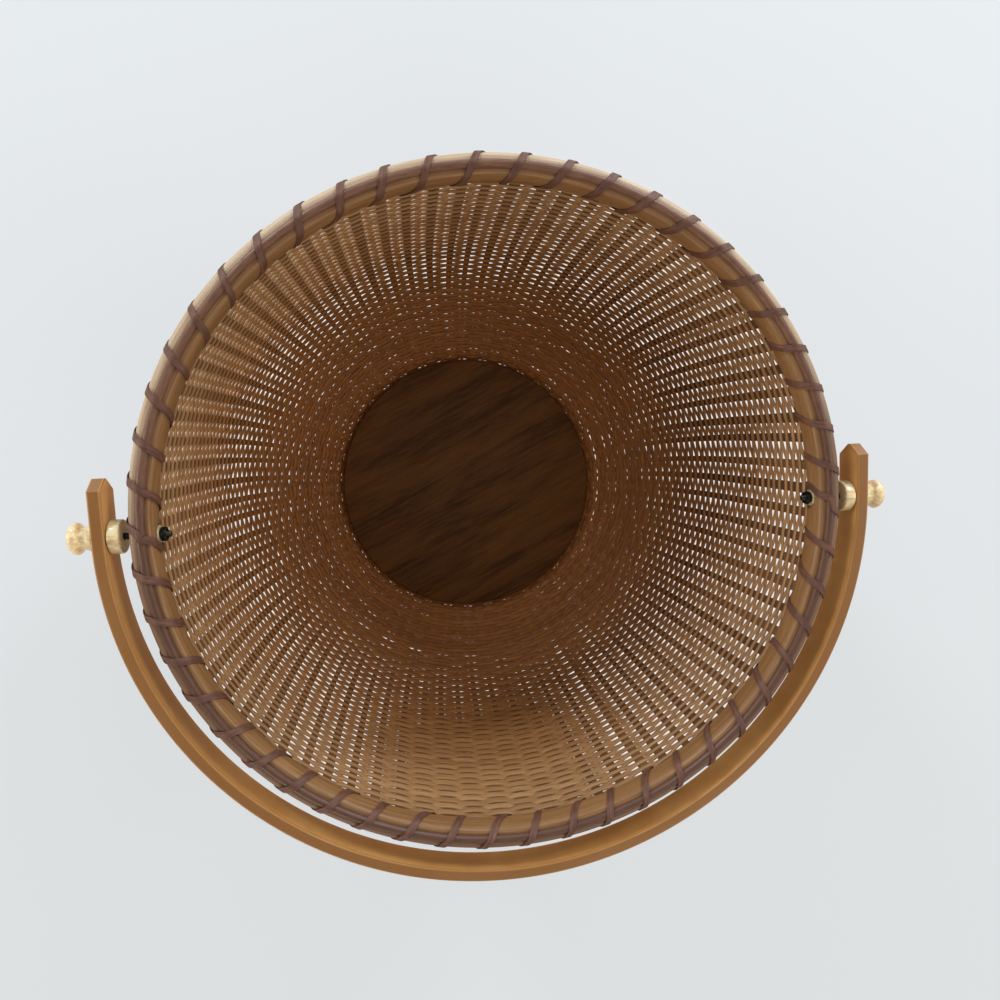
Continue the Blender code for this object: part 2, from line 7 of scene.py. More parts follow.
import json
import logging
import math
from dataclasses import dataclass, replace
from enum import Enum
from typing import Any

import bmesh
import bpy
import numpy as np
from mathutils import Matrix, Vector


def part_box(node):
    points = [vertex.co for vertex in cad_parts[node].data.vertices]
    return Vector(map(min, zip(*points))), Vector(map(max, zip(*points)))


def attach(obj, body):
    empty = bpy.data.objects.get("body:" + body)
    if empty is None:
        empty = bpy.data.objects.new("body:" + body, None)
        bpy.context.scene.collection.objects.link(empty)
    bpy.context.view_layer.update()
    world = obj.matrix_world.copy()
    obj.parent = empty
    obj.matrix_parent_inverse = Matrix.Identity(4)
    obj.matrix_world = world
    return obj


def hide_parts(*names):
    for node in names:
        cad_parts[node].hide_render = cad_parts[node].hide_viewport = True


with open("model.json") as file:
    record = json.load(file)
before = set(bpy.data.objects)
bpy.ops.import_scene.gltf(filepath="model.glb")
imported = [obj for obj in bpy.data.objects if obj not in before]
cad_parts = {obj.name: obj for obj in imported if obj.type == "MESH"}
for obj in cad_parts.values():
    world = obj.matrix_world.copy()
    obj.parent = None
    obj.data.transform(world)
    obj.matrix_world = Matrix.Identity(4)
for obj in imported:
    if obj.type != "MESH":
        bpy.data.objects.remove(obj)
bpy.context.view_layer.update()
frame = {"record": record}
SMOOTH_ANGLE = math.radians(40)
WELD_DISTANCE = 1e-7
LOG = logging.getLogger("basket")

Colour = tuple[float, float, float, float]


class Body(Enum):
    """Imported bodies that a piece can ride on."""

    BASKET = "basket"
    HANDLE = "handle"


class Side(Enum):
    """The two pivots, each with its turn about Z from the +X side."""

    RIGHT = 0.0
    LEFT = math.pi


class Coordinates(Enum):
    """What a pattern follows: the piece's own lengths in metres, or the whole object's space."""

    UV = "UV"
    OBJECT = "Object"


# Nodes and colours


def linear(hex_code: str) -> Colour:
    """Turn an sRGB hex code into a linear colour.

    Args:
        hex_code: six hex digits.

    Returns:
        Linear red, green and blue, with full alpha.
    """
    channels = [int(hex_code[i:i + 2], 16) / 255 for i in (0, 2, 4)]
    red, green, blue = (c / 12.92 if c <= 0.04045 else ((c + 0.055) / 1.055) ** 2.4 for c in channels)
    return red, green, blue, 1.0


# Numbers of a Mix node's colour sockets, because its value, vector and colour sockets share their names
MIX_FIRST = 6
MIX_SECOND = 7
MIX_RESULT = 2


def add_node(
    tree: bpy.types.NodeTree,
    kind: str,
    settings: dict[str | int, Any] | None = None,
    links: dict[str | int, bpy.types.NodeSocket] | None = None,
) -> bpy.types.Node:
    """Add a shader node, set it and join its inputs.

    Args:
        tree: node tree that gets the node.
        kind: node type without its ShaderNode prefix.
        settings: a value for each property of the node, or for each input by name or number.
        links: the socket that feeds each input.

    Returns:
        The new node.
    """
    node = tree.nodes.new(f"ShaderNode{kind}")
    for key, value in (settings or {}).items():
        if isinstance(key, str) and hasattr(node, key):
            setattr(node, key, value)
        else:
            node.inputs[key].default_value = value
    for key, socket in (links or {}).items():
        tree.links.new(socket, node.inputs[key])
    return node


def empty_material(name: str) -> tuple[bpy.types.Material, bpy.types.NodeTree]:
    """Make a node material with no nodes.

    Args:
        name: the material's name.

    Returns:
        The material and its node tree.
    """
    material = bpy.data.materials.new(name)
    material.use_nodes = True
    material.node_tree.nodes.clear()
    return material, material.node_tree


# Finishes


@dataclass(frozen=True)
class Noise:
    """Shape of a noise.

    Attributes:
        octaves: layers of finer and finer detail.
        low: value that becomes 0.
        high: value that becomes 1.
        roughness: strength of the finer layers, from 0 to 1.
    """

    octaves: float
    low: float
    high: float
    roughness: float = 0.5

    def value(self, tree: bpy.types.NodeTree, vector: bpy.types.NodeSocket,
              scale: float = 1.0) -> bpy.types.NodeSocket:
        """Add the noise and stretch its middle to the full range.

        Args:
            tree: node tree that gets the nodes.
            vector: coordinates that the noise follows.
            scale: features for each unit of them.

        Returns:
            The noise's value, from 0 to 1.
        """
        noise = add_node(tree, "TexNoise", {"Scale": scale, "Detail": self.octaves, "Roughness": self.roughness},
                         {"Vector": vector})
        spread = add_node(tree, "MapRange", {"From Min": self.low, "From Max": self.high},
                          {"Value": noise.outputs["Fac"]})
        return spread.outputs["Result"]


FIBRES = Noise(3.0, 0.3, 0.7, 0.6)
STREAKS = Noise(4.0, 0.42, 0.66, 0.6)
BANDS = Noise(2.0, 0.4, 0.65, 0.6)
BONE_STREAKS = Noise(4.0, 0.45, 0.75)
WORN_PATCHES = Noise(3.0, 0.4, 0.65)


@dataclass(frozen=True)
class GrainFinish:
    """Wood or cane whose fibres run along the piece or across the whole object.

    Attributes:
        name: common name of the material and how its surface was made.
        slot: the record's material slot.
        dark: colour between the fibres.
        light: colour of the fibres.
        streak: colour of the long streaks.
        streak_share: how much of the surface the streaks tint, from 0 to 1.
        fibre_width: width of one fibre, in metres.
        streak_width: width of one streak, in metres.
        stretch: length of a fibre over its width.
        roughness: roughness of the surface.
        sheen_coat: weight of the thin clear coat, such as shellac.
        relief: height of the fibres, in metres.
        specular: level of the plain reflection, from 0 to 1.
        tone_share: how much the piece's tone attribute darkens it, from 0 to 1.
        tone_colour: colour that a full tone gives.
        foot_painted_shade: colour that the surface is multiplied by at the object's foot: painted warm shade, darker
            and more amber deep in the basket.
        low_to: height at which that tint has faded evenly away, in metres.
        band: colour of the broad soft bands of the figure.
        band_share: how much the bands tint, from 0 to 1.
        band_width: width of one band, in metres.
        band_stretch_share: how much a band is stretched, as a share of a fibre's stretch.
        coat_roughness: roughness of the clear coat.
        coordinates: what the grain follows.
        turn: turn of the grain about Z, where it follows the object's space.
    """

    name: str
    slot: str
    dark: str
    light: str
    streak: str
    streak_share: float
    fibre_width: float
    streak_width: float
    stretch: float
    roughness: float
    sheen_coat: float
    relief: float
    specular: float = 0.3
    tone_share: float = 0.0
    tone_colour: str = "000000"
    foot_painted_shade: str | None = None
    low_to: float = 0.150
    band: str = "000000"
    band_share: float = 0.0
    band_width: float = 0.02
    band_stretch_share: float = 0.25
    coat_roughness: float = 0.3
    coordinates: Coordinates = Coordinates.UV
    turn: float = 0.0

    def grain(self, tree: bpy.types.NodeTree, noise: Noise, width: float, stretch: float) -> bpy.types.NodeSocket:
        """Add noise that is stretched along the grain.

        Args:
            tree: node tree that gets the nodes.
            noise: the noise's shape.
            width: width of one feature across the grain, in metres.
            stretch: length of a feature over its width.

        Returns:
            The noise's value, from 0 to 1.
        """
        place = add_node(tree, "TexCoord")
        source = place.outputs[self.coordinates.value]
        if self.turn:
            turned_place = add_node(tree, "Mapping", {"Rotation": (0.0, 0.0, -self.turn)}, {"Vector": source})
            source = turned_place.outputs["Vector"]
        scale = (1 / (width * stretch), 1 / width, 1 / width)
        laid = add_node(tree, "Mapping", {"Scale": scale}, {"Vector": source})
        return noise.value(tree, laid.outputs["Vector"])

    def laid_over(self, tree: bpy.types.NodeTree, under: bpy.types.NodeSocket, over: str,
                  where: bpy.types.NodeSocket, share: float) -> bpy.types.NodeSocket:
        """Lay one colour over another where a value says so.

        Args:
            tree: node tree that gets the nodes.
            under: the colour below.
            over: hex code of the colour above.
            where: 0 for the colour below, 1 for the full share of the one above.
            share: how much of the colour above a full value gives.

        Returns:
            The mixed colour.
        """
        factor = add_node(tree, "Math", {"operation": "MULTIPLY", 1: share}, {0: where})
        mix = add_node(tree, "Mix", {"data_type": "RGBA", MIX_SECOND: linear(over)},
                       {0: factor.outputs["Value"], MIX_FIRST: under})
        return mix.outputs[MIX_RESULT]

    def shaded_at_foot(self, tree: bpy.types.NodeTree, colour: bpy.types.NodeSocket) -> bpy.types.NodeSocket:
        """Multiply a colour by the foot's painted shade, evenly less and less up to its upper height.

        Args:
            tree: node tree that gets the nodes.
            colour: the colour before it.

        Returns:
            The tinted colour.
        """
        place = add_node(tree, "TexCoord")
        parts = add_node(tree, "SeparateXYZ", links={"Vector": place.outputs["Object"]})
        fade = add_node(tree, "MapRange", {"From Max": self.low_to, "To Min": 1.0, "To Max": 0.0},
                        {"Value": parts.outputs["Z"]})
        mix = add_node(tree, "Mix", {"data_type": "RGBA", "blend_type": "MULTIPLY", MIX_SECOND: linear(self.foot_painted_shade)},
                       {0: fade.outputs["Result"], MIX_FIRST: colour})
        return mix.outputs[MIX_RESULT]

    def material(self) -> bpy.types.Material:
        """Build the material: fibres, streaks, broad bands, the tone attribute (painted shade on some pieces, random
        tone on the cane), painted shade at the foot and low relief.

        Returns:
            The material.
        """
        material, tree = empty_material(self.name)
        fibre = self.grain(tree, FIBRES, self.fibre_width, self.stretch)
        plain = add_node(tree, "Mix",
                         {"data_type": "RGBA", MIX_FIRST: linear(self.dark), MIX_SECOND: linear(self.light)},
                         {0: fibre})
        streak = self.grain(tree, STREAKS, self.streak_width, self.stretch)
        colour = self.laid_over(tree, plain.outputs[MIX_RESULT], self.streak, streak, self.streak_share)
        if self.band_share:
            band = self.grain(tree, BANDS, self.band_width, self.stretch * self.band_stretch_share)
            colour = self.laid_over(tree, colour, self.band, band, self.band_share)
        if self.tone_share:
            tone = add_node(tree, "Attribute", {"attribute_name": "tone"})
            colour = self.laid_over(tree, colour, self.tone_colour, tone.outputs["Fac"], self.tone_share)
        # Painted shade: darker and warmer towards the object's foot.
        if self.foot_painted_shade:
            colour = self.shaded_at_foot(tree, colour)
        bump = add_node(tree, "Bump", {"Strength": 1.0, "Distance": self.relief}, {"Height": fibre})
        surface = add_node(tree, "BsdfPrincipled",
                           {"Roughness": self.roughness, "Coat Weight": self.sheen_coat,
                            "Coat Roughness": self.coat_roughness, "Specular IOR Level": self.specular},
                           {"Base Color": colour, "Normal": bump.outputs["Normal"]})
        add_node(tree, "OutputMaterial", links={"Surface": surface.outputs["BSDF"]})
        return material


@dataclass(frozen=True)
class BoneFinish:
    """Turned and polished bone, with faint grey streaks.

    Attributes:
        name: common name of the material and how its surface was made.
        slot: the record's material slot.
        body: main colour.
        streak: colour of the streaks.
        streak_width: width of one streak, in metres.
        roughness: roughness of the surface.
        stretch: length of a streak over its width.
        inner_light: weight of the light that goes under the surface.
        inner_depth: how deep that light goes, in metres.
        polish: weight of the clear polish.
        polish_roughness: roughness of the polish.
    """

    name: str
    slot: str
    body: str
    streak: str
    streak_width: float
    roughness: float
    stretch: float = 4.0
    inner_light: float = 0.25
    inner_depth: float = 0.002
    polish: float = 0.3
    polish_roughness: float = 0.15

    def material(self) -> bpy.types.Material:
        """Build the material: a warm cream that lets a little light in, with streaks along the bone.

        Returns:
            The material.
        """
        material, tree = empty_material(self.name)
        place = add_node(tree, "TexCoord")
        scale = (1 / (self.streak_width * self.stretch), 1 / self.streak_width, 1 / self.streak_width)
        laid = add_node(tree, "Mapping", {"Scale": scale}, {"Vector": place.outputs["Object"]})
        streak = BONE_STREAKS.value(tree, laid.outputs["Vector"])
        colour = add_node(tree, "Mix",
                          {"data_type": "RGBA", MIX_FIRST: linear(self.body), MIX_SECOND: linear(self.streak)},
                          {0: streak})
        surface = add_node(tree, "BsdfPrincipled",
                           {"Roughness": self.roughness, "Subsurface Weight": self.inner_light,
                            "Subsurface Scale": self.inner_depth, "Coat Weight": self.polish,
                            "Coat Roughness": self.polish_roughness},
                           {"Base Color": colour.outputs[MIX_RESULT]})
        add_node(tree, "OutputMaterial", links={"Surface": surface.outputs["BSDF"]})
        return material


@dataclass(frozen=True)
class MetalFinish:
    """Dulled metal with small patches of wear.

    Attributes:
        name: common name of the material and how its surface was made.
        slot: the record's material slot.
        body: main colour.
        worn: colour of the worn patches.
        patch: size of one patch, in metres.
        roughness: roughness of the surface.
        metallic: 1 for bare metal.
    """

    name: str
    slot: str
    body: str
    worn: str
    patch: float
    roughness: float
    metallic: float

    def material(self) -> bpy.types.Material:
        """Build the material: one metal with a darker and a lighter state in patches.

        Returns:
            The material.
        """
        material, tree = empty_material(self.name)
        place = add_node(tree, "TexCoord")
        worn = WORN_PATCHES.value(tree, place.outputs["Object"], 1 / self.patch)
        colour = add_node(tree, "Mix",
                          {"data_type": "RGBA", MIX_FIRST: linear(self.body), MIX_SECOND: linear(self.worn)},
                          {0: worn})
        surface = add_node(tree, "BsdfPrincipled", {"Roughness": self.roughness, "Metallic": self.metallic},
                           {"Base Color": colour.outputs[MIX_RESULT]})
        add_node(tree, "OutputMaterial", links={"Surface": surface.outputs["BSDF"]})
        return material


# Dark stained walnut, turned flat and waxed: reddish brown figure in soft bands, with fine open pores
WALNUT = GrainFinish("turned_walnut", "walnut", dark="41250D", light="6B421B", streak="281607", streak_share=0.55,
                     fibre_width=0.0004, streak_width=0.0013, stretch=22.0, roughness=0.5, sheen_coat=0.0,
                     relief=0.00003, specular=0.12, band="7E5222", band_share=0.4, band_width=0.012,
                     coordinates=Coordinates.OBJECT, turn=math.radians(26))
# Split oak staves: straight grain, their colour lightened against the shade deep in the basket, with painted warm
# shade towards the foot and painted shade above, where the shaded gaps in the weave read as dark slits
STAVE_OAK = GrainFinish("split_oak_stave", "woven_cane", dark="96683E", light="B88A5A", streak="7C5430",
                        streak_share=0.5, fibre_width=0.00035, streak_width=0.0014, stretch=30.0, roughness=0.6,
                        sheen_coat=0.0, relief=0.00002, tone_share=0.9, tone_colour="3A200C", foot_painted_shade="FFCB6C")
# Peeled cane weavers: honey brown, satin, with painted warm shade towards the foot, each length a little different in
# tone
WEAVER_CANE = GrainFinish("peeled_cane_weaver", "woven_cane", dark="886542", light="B08D63", streak="785534",
                          streak_share=0.4, fibre_width=0.00025, streak_width=0.0009, stretch=40.0,
                          roughness=0.48, sheen_coat=0.1, relief=0.00002, tone_share=0.5, tone_colour="704B2A",
                          foot_painted_shade="FFCB6C")
# Split rattan hoops: tan, with long dark vessels and a soft sheen
HOOP_RATTAN = GrainFinish("split_rattan_hoop", "rattan_hoop", dark="6C4A26", light="947048", streak="58381C",
                          streak_share=0.5, fibre_width=0.0004, streak_width=0.0013, stretch=45.0,
                          roughness=0.5, sheen_coat=0.1, relief=0.00003, band="744E2E", band_share=0.4,
                          band_width=0.006)
# The outer hoop's rattan: a greyish cream, with painted shade that browns it round the side of the rim away from the
# light
PAINTED_SHADE_RATTAN = replace(HOOP_RATTAN, name="pale_rattan_hoop", dark="9A8062", light="C8B498", streak="8C7254",
                      band="A88E6C", tone_share=0.9, tone_colour="64432C")
# Aged cane bark over the joint: purplish brown, mottled, a little glossy, with painted shade round the side of the rim
# away from the light
CAP_CANE = GrainFinish("aged_cane_bark", "cap_cane", dark="563626", light="7A5640", streak="452A1D",
                       streak_share=0.5, fibre_width=0.0006, streak_width=0.0022, stretch=8.0, roughness=0.5,
                       sheen_coat=0.1, relief=0.00002, tone_share=0.6, tone_colour="3E2415", band="6A4834",
                       band_share=0.5, band_width=0.005)
# Dark split cane of the lashing: purplish brown, dull, with long fibres
LASHING_CANE = GrainFinish("dark_cane_lashing", "lashing_cane", dark="4A2E22", light="6E4A3A", streak="3A231A",
                           streak_share=0.5, fibre_width=0.0003, streak_width=0.0010, stretch=14.0,
                           roughness=0.6, sheen_coat=0.0, relief=0.00003)
# Steam-bent ash, varnished: golden brown with long straight grain, with painted shade on its narrow sides and edges,
# and on the inner face near the top to even out the rim's shade
HANDLE_ASH = GrainFinish("bent_varnished_ash", "bent_ash", dark="D8984E", light="F6BE72", streak="BC7E3A",
                         streak_share=0.5, fibre_width=0.0005, streak_width=0.0022, stretch=55.0,
                         roughness=0.45, sheen_coat=0.15, relief=0.00002, tone_share=0.9, tone_colour="6C441B",
                         band="E4A456", band_share=0.4, band_width=0.008)
# Turned bone, polished: cream, a little translucent, with faint grey streaks
BONE = BoneFinish("turned_bone", "bone", body="D9C595", streak="AE8E5E", streak_width=0.0012, roughness=0.35)
# Blackened steel nut and bolt: near black with a dull shine on the corners
BLACK_STEEL = MetalFinish("blackened_steel", "steel", body="24231F", worn="3E3D38", patch=0.0008,
                          roughness=0.38, metallic=0.9)
# Dulled plated washer: warm grey with darker specks
WASHER_STEEL = MetalFinish("dulled_plated_steel", "steel", body="C9B894", worn="94866A", patch=0.0006,
                           roughness=0.5, metallic=0.3)


# Surfaces


def squircle(count: int, power: float) -> np.ndarray:
    """Round section between an ellipse and a box.

    Point k is at angle a = turn (k + 1/2) / count, with x = sign(cos a) |cos a|^(2/power) and the same for y
    with sin a. Power 2 is an ellipse and a high power is nearly a box. The points are then scaled to reach 1.

    Args:
        count: number of points.
        power: how square the section is.

    Returns:
        Points (count, 2) from -1 to 1 each way.
    """
    angle = math.tau * (np.arange(count) + 0.5) / count
    across, out = np.cos(angle), np.sin(angle)
    points = np.stack([np.sign(way) * np.abs(way) ** (2 / power) for way in (across, out)], axis=1)
    return points / np.abs(points).max(axis=0)


def unit(vectors: np.ndarray) -> np.ndarray:
    """Scale each vector of the last axis to length 1."""
    return vectors / np.linalg.norm(vectors, axis=-1, keepdims=True)


def swept(middle: np.ndarray, outward: np.ndarray, section: np.ndarray) -> np.ndarray:
    """Carry a section along a path.

    At each point, across = along x outward, and a section point (a, b) lies at middle + a across + b face, where
    face = across x along is the outward direction made square to the path.

    Args:
        middle: path points (rows, 3).
        outward: direction of the section's second axis at each point (rows, 3).
        section: points (columns, 2), or (rows, columns, 2) where it changes along the path.

    Returns:
        Grid of points (rows, columns, 3).
    """
    along = unit(np.gradient(middle, axis=0))
    across = unit(np.cross(along, outward))
    face = np.cross(across, along)
    spread = np.broadcast_to(section, (len(middle), *section.shape[-2:]))
    return (middle[:, None] + spread[..., :1] * across[:, None] + spread[..., 1:] * face[:, None])


def turned(outline: np.ndarray, segments: int) -> np.ndarray:
    """Spin an outline once round Z: x = r cos a, y = r sin a, z = height.

    Args:
        outline: points (columns, 2) as radius and height, or (segments, columns, 2) where it changes round.
        segments: steps of the turn.

    Returns:
        Grid of points (segments, columns, 3).
    """
    angle = math.tau * np.arange(segments) / segments
    spread = np.broadcast_to(outline, (segments, *outline.shape[-2:]))
    x = spread[..., 0] * np.cos(angle)[:, None]
    y = spread[..., 0] * np.sin(angle)[:, None]
    return np.stack([x, y, spread[..., 1]], axis=-1)


def round_axis(flat: np.ndarray, angle: np.ndarray) -> np.ndarray:
    """Turn (radius, height) values to (x, y, z) at the given angles."""
    return np.stack([flat[..., 0] * np.cos(angle), flat[..., 0] * np.sin(angle), flat[..., 1]], axis=-1)


def along_x(grid: np.ndarray, height: float, side: Side) -> np.ndarray:
    """Lay a shape that was turned about Z along the pivots' line: its Z becomes X, or -X at the left.

    Args:
        grid: points (..., 3).
        height: the pivots' height.
        side: which pivot it belongs to.

    Returns:
        The points in place.
    """
    cos, sin = math.cos(side.value), math.sin(side.value)
    x, y, z = grid[..., 2], grid[..., 1], -grid[..., 0]
    return np.stack([x * cos - y * sin, x * sin + y * cos, z + height], axis=-1)


def equal_steps(points: np.ndarray, values: np.ndarray, shares: np.ndarray) -> np.ndarray:
    """Read values along a path at given shares of its length.

    Args:
        points: the path (rows, dimensions).
        values: a value for each point (rows, size).
        shares: shares of the length, from 0 to 1.

    Returns:
        Values (shares, size), each worked out on the straight line between two points.
    """
    length = np.concatenate([[0], np.cumsum(np.linalg.norm(np.diff(points, axis=0), axis=1))])
    return np.stack([np.interp(shares, length / length[-1], column) for column in values.T], axis=1)


def corner_grid(values: np.ndarray) -> np.ndarray:
    """Values at the four corners of each cell of a grid (bodies, rows, columns, ...)."""
    return np.stack([values[:, :-1, :-1], values[:, :-1, 1:], values[:, 1:, 1:], values[:, 1:, :-1]], axis=3)


def wrapped(values: np.ndarray, axis: int) -> np.ndarray:
    """Repeat the first entry of an axis after its last one."""
    return np.concatenate([values, np.take(values, [0], axis=axis)], axis=axis)


def signed_volume(corners: np.ndarray) -> float:
    """Six times the volume inside quads (..., 4, 3), positive when they face outwards."""
    low, near, high, far = (corners[..., k, :] for k in range(4))
    return float((low * np.cross(near, high)).sum() + (low * np.cross(high, far)).sum())


def piece(name: str, grid: np.ndarray, ring: bool, tone: np.ndarray | None = None) -> bpy.types.Object:
    """Make a mesh piece of one or more closed bodies from grids of points.

    Rows run along a body and columns go round its section. A cell joins (i, j), (i, j+1), (i+1, j+1) and
    (i+1, j). The last column joins the first. On a ring the last row joins the first too, and otherwise both
    end sections are filled. The UV map holds metres: U is the length along the middle of the sections and V the
    length round the section. Faces point outwards: where the volume comes out negative, columns are reversed.

    Args:
        name: the piece's name.
        grid: points (rows, columns, 3) or (bodies, rows, columns, 3).
        ring: whether the rows close on themselves.
        tone: values from 0 to 1 that broadcast to (bodies, rows, columns), kept as the tone attribute.

    Returns:
        The new object, at the origin.
    """
    grid = grid if grid.ndim == 4 else grid[None]
    closed = wrapped(wrapped(grid, 1), 2) if ring else wrapped(grid, 2)
    shade = None if tone is None else np.broadcast_to(tone, grid.shape[:3])
    if signed_volume(corner_grid(closed)) < 0:
        grid = grid[:, :, ::-1]
        closed = closed[:, :, ::-1]
        shade = None if shade is None else shade[:, :, ::-1]
    bodies, rows, columns, _ = grid.shape
    index = np.arange(bodies * rows * columns).reshape(bodies, rows, columns)
    around = wrapped(wrapped(index, 1), 2) if ring else wrapped(index, 2)
    quads = corner_grid(around).reshape(-1, 4)
    step = np.linalg.norm(np.diff(closed.mean(axis=2), axis=1), axis=-1)
    run = np.concatenate([np.zeros((bodies, 1)), np.cumsum(step, axis=1)], axis=1)
    run += np.arange(bodies)[:, None] * run.max()
    girth_step = np.linalg.norm(np.diff(closed, axis=2), axis=-1)
    girth = np.concatenate([np.zeros((*girth_step.shape[:2], 1)), np.cumsum(girth_step, axis=2)], axis=2)
    chart = np.stack([np.broadcast_to(run[..., None], girth.shape), girth], axis=-1)
    loops = [quads.ravel()]
    starts = [np.arange(len(quads)) * 4]
    charts = [corner_grid(chart).reshape(-1, 2)]
    if not ring:
        caps = np.stack([index[:, 0, ::-1], index[:, -1]], axis=1).reshape(-1, columns)
        ends = np.stack([chart[:, 0, -2::-1], chart[:, -1, :-1]], axis=1).reshape(-1, 2)
        loops.append(caps.ravel())
        starts.append(quads.size + np.arange(len(caps)) * columns)
        charts.append(ends)
    mesh = bpy.data.meshes.new(name)
    mesh.vertices.add(grid.size // 3)
    mesh.vertices.foreach_set("co", grid.astype(np.float32).ravel())
    corners = np.concatenate(loops).astype(np.int32)
    mesh.loops.add(len(corners))
    mesh.loops.foreach_set("vertex_index", corners)
    first = np.concatenate(starts).astype(np.int32)
    mesh.polygons.add(len(first))
    mesh.polygons.foreach_set("loop_start", first)
    mesh.update(calc_edges=True)
    mesh.uv_layers.new(name="length").data.foreach_set("uv", np.concatenate(charts).astype(np.float32).ravel())
    if shade is not None:
        values = shade.astype(np.float32).ravel()
        mesh.attributes.new("tone", "FLOAT", "POINT").data.foreach_set("value", values)
    mesh.shade_smooth()
    mesh.set_sharp_from_angle(angle=SMOOTH_ANGLE)
    item = bpy.data.objects.new(name, mesh)
    bpy.context.scene.collection.objects.link(item)
    return item


def close_poles(item: bpy.types.Object) -> bpy.types.Object:
    """Merge the points that meet on a turned piece's axis, and drop the edges left there with no face.

    Args:
        item: a turned piece whose outline starts and ends on its axis.

    Returns:
        The same object.
    """
    shape = bmesh.new()
    shape.from_mesh(item.data)
    bmesh.ops.remove_doubles(shape, verts=shape.verts, dist=WELD_DISTANCE)
    bmesh.ops.delete(shape, geom=[edge for edge in shape.edges if not edge.link_faces], context="EDGES")
    bmesh.ops.recalc_face_normals(shape, faces=shape.faces)
    shape.to_mesh(item.data)
    shape.free()
    return item


def cut_away(item: bpy.types.Object, cutter: bpy.types.Object) -> None:
    """Cut one piece by another, keep the result as the piece's mesh and remove the cutter.

    Args:
        item: the piece that is cut.
        cutter: the closed shape that cuts it.
    """
    cut = item.modifiers.new("cut", "BOOLEAN")
    cut.operation = "DIFFERENCE"
    cut.solver = "EXACT"
    cut.object = cutter
    shaped = item.evaluated_get(bpy.context.evaluated_depsgraph_get())
    mesh = bpy.data.meshes.new_from_object(shaped)
    item.modifiers.clear()
    item.data = mesh
    bpy.data.objects.remove(cutter, do_unlink=True)


def settle(item: bpy.types.Object, finish: GrainFinish | BoneFinish | MetalFinish, material: bpy.types.Material,
           body: Body, *nodes: str) -> None:
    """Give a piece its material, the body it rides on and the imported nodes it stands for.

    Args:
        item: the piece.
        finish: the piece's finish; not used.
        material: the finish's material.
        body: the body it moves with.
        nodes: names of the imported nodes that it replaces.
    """
    item.data.materials.clear()
    item.data.materials.append(material)
    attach(item, body.value)
    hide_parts(*nodes)
    LOG.info("%s: %d faces for %s", item.name, len(item.data.polygons), ", ".join(nodes))


# Sizes that the sub-assemblies share


@dataclass(frozen=True)
class Oval:
    """The mouth's slight oval: wider between the pivots and narrower across.

    Attributes:
        share: how much wider and narrower.
        start: radius up to which the basket is round.
        full: radius from which the whole share counts.
    """

    share: float
    start: float
    full: float

    def stretch(self, points: np.ndarray) -> np.ndarray:
        """Scale x by 1 + share and y by 1 - share, less and less below the full radius.

        Args:
            points: points (..., 3) of the round basket.

        Returns:
            The points on the oval one.
        """
        radius = np.hypot(points[..., 0], points[..., 1])
        part = self.share * np.clip((radius - self.start) / (self.full - self.start), 0, 1)
        return points * np.stack([1 + part, 1 - part, np.ones_like(part)], axis=-1)


@dataclass(frozen=True)
class Layout:
    """Sizes of the round basket before its oval stretch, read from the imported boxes.

    Attributes:
        base_radius: outer radius of the base.
        base_thickness: thickness of the base.
        wall_radius: middle of the wall between the hoops.
        inner_back: flat back of the inner hoop.
        inner_face: furthest point of the inner hoop's face.
        outer_back: flat back of the outer hoop.
        outer_face: furthest point of the outer hoop's face.
        hoop_low: lower edges of the hoops.
        hoop_high: upper edges of the hoops.
        rim_top: top of the cap.
        pivot_height: height of the pivots.
        oval: the mouth's oval.
    """

    base_radius: float
    base_thickness: float
    wall_radius: float
    inner_back: float
    inner_face: float
    outer_back: float
    outer_face: float
    hoop_low: float
    hoop_high: float
    rim_top: float
    pivot_height: float
    oval: Oval

    @classmethod
    def read(cls, seat: float = 0.0003, inner_bulge: float = 0.0030, wall_half: float = 0.0010,
             strip_room: float = 0.0012) -> "Layout":
        """Work the sizes out from the boxes of the base, the hoops and the cap.

        Args:
            seat: gap between pieces that touch.
            inner_bulge: thickness of the inner hoop at its middle.
            wall_half: half the wall's thickness.
            strip_room: room that the lashing takes inside the inner hoop.

        Returns:
            The sizes.
        """
        _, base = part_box("base_disc")
        hoop_low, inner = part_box("inner_hoop")
        _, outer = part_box("outer_hoop")
        _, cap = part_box("rim_cap")
        share = (outer.x - outer.y) / (outer.x + outer.y)
        inner_back = inner.x / (1 + share)
        inner_face = inner_back - inner_bulge
        return cls(base_radius=base.x, base_thickness=base.z, wall_radius=inner_back + seat + wall_half,
                   inner_back=inner_back, inner_face=inner_face, outer_back=inner_back + 2 * (seat + wall_half),
                   outer_face=outer.x / (1 + share), hoop_low=hoop_low.z, hoop_high=inner.z, rim_top=cap.z,
                   pivot_height=frame["record"]["behaviour"]["joints"][0]["pos_m"][2],
                   oval=Oval(share, base.x, inner_face - strip_room))


# Sub-assemblies


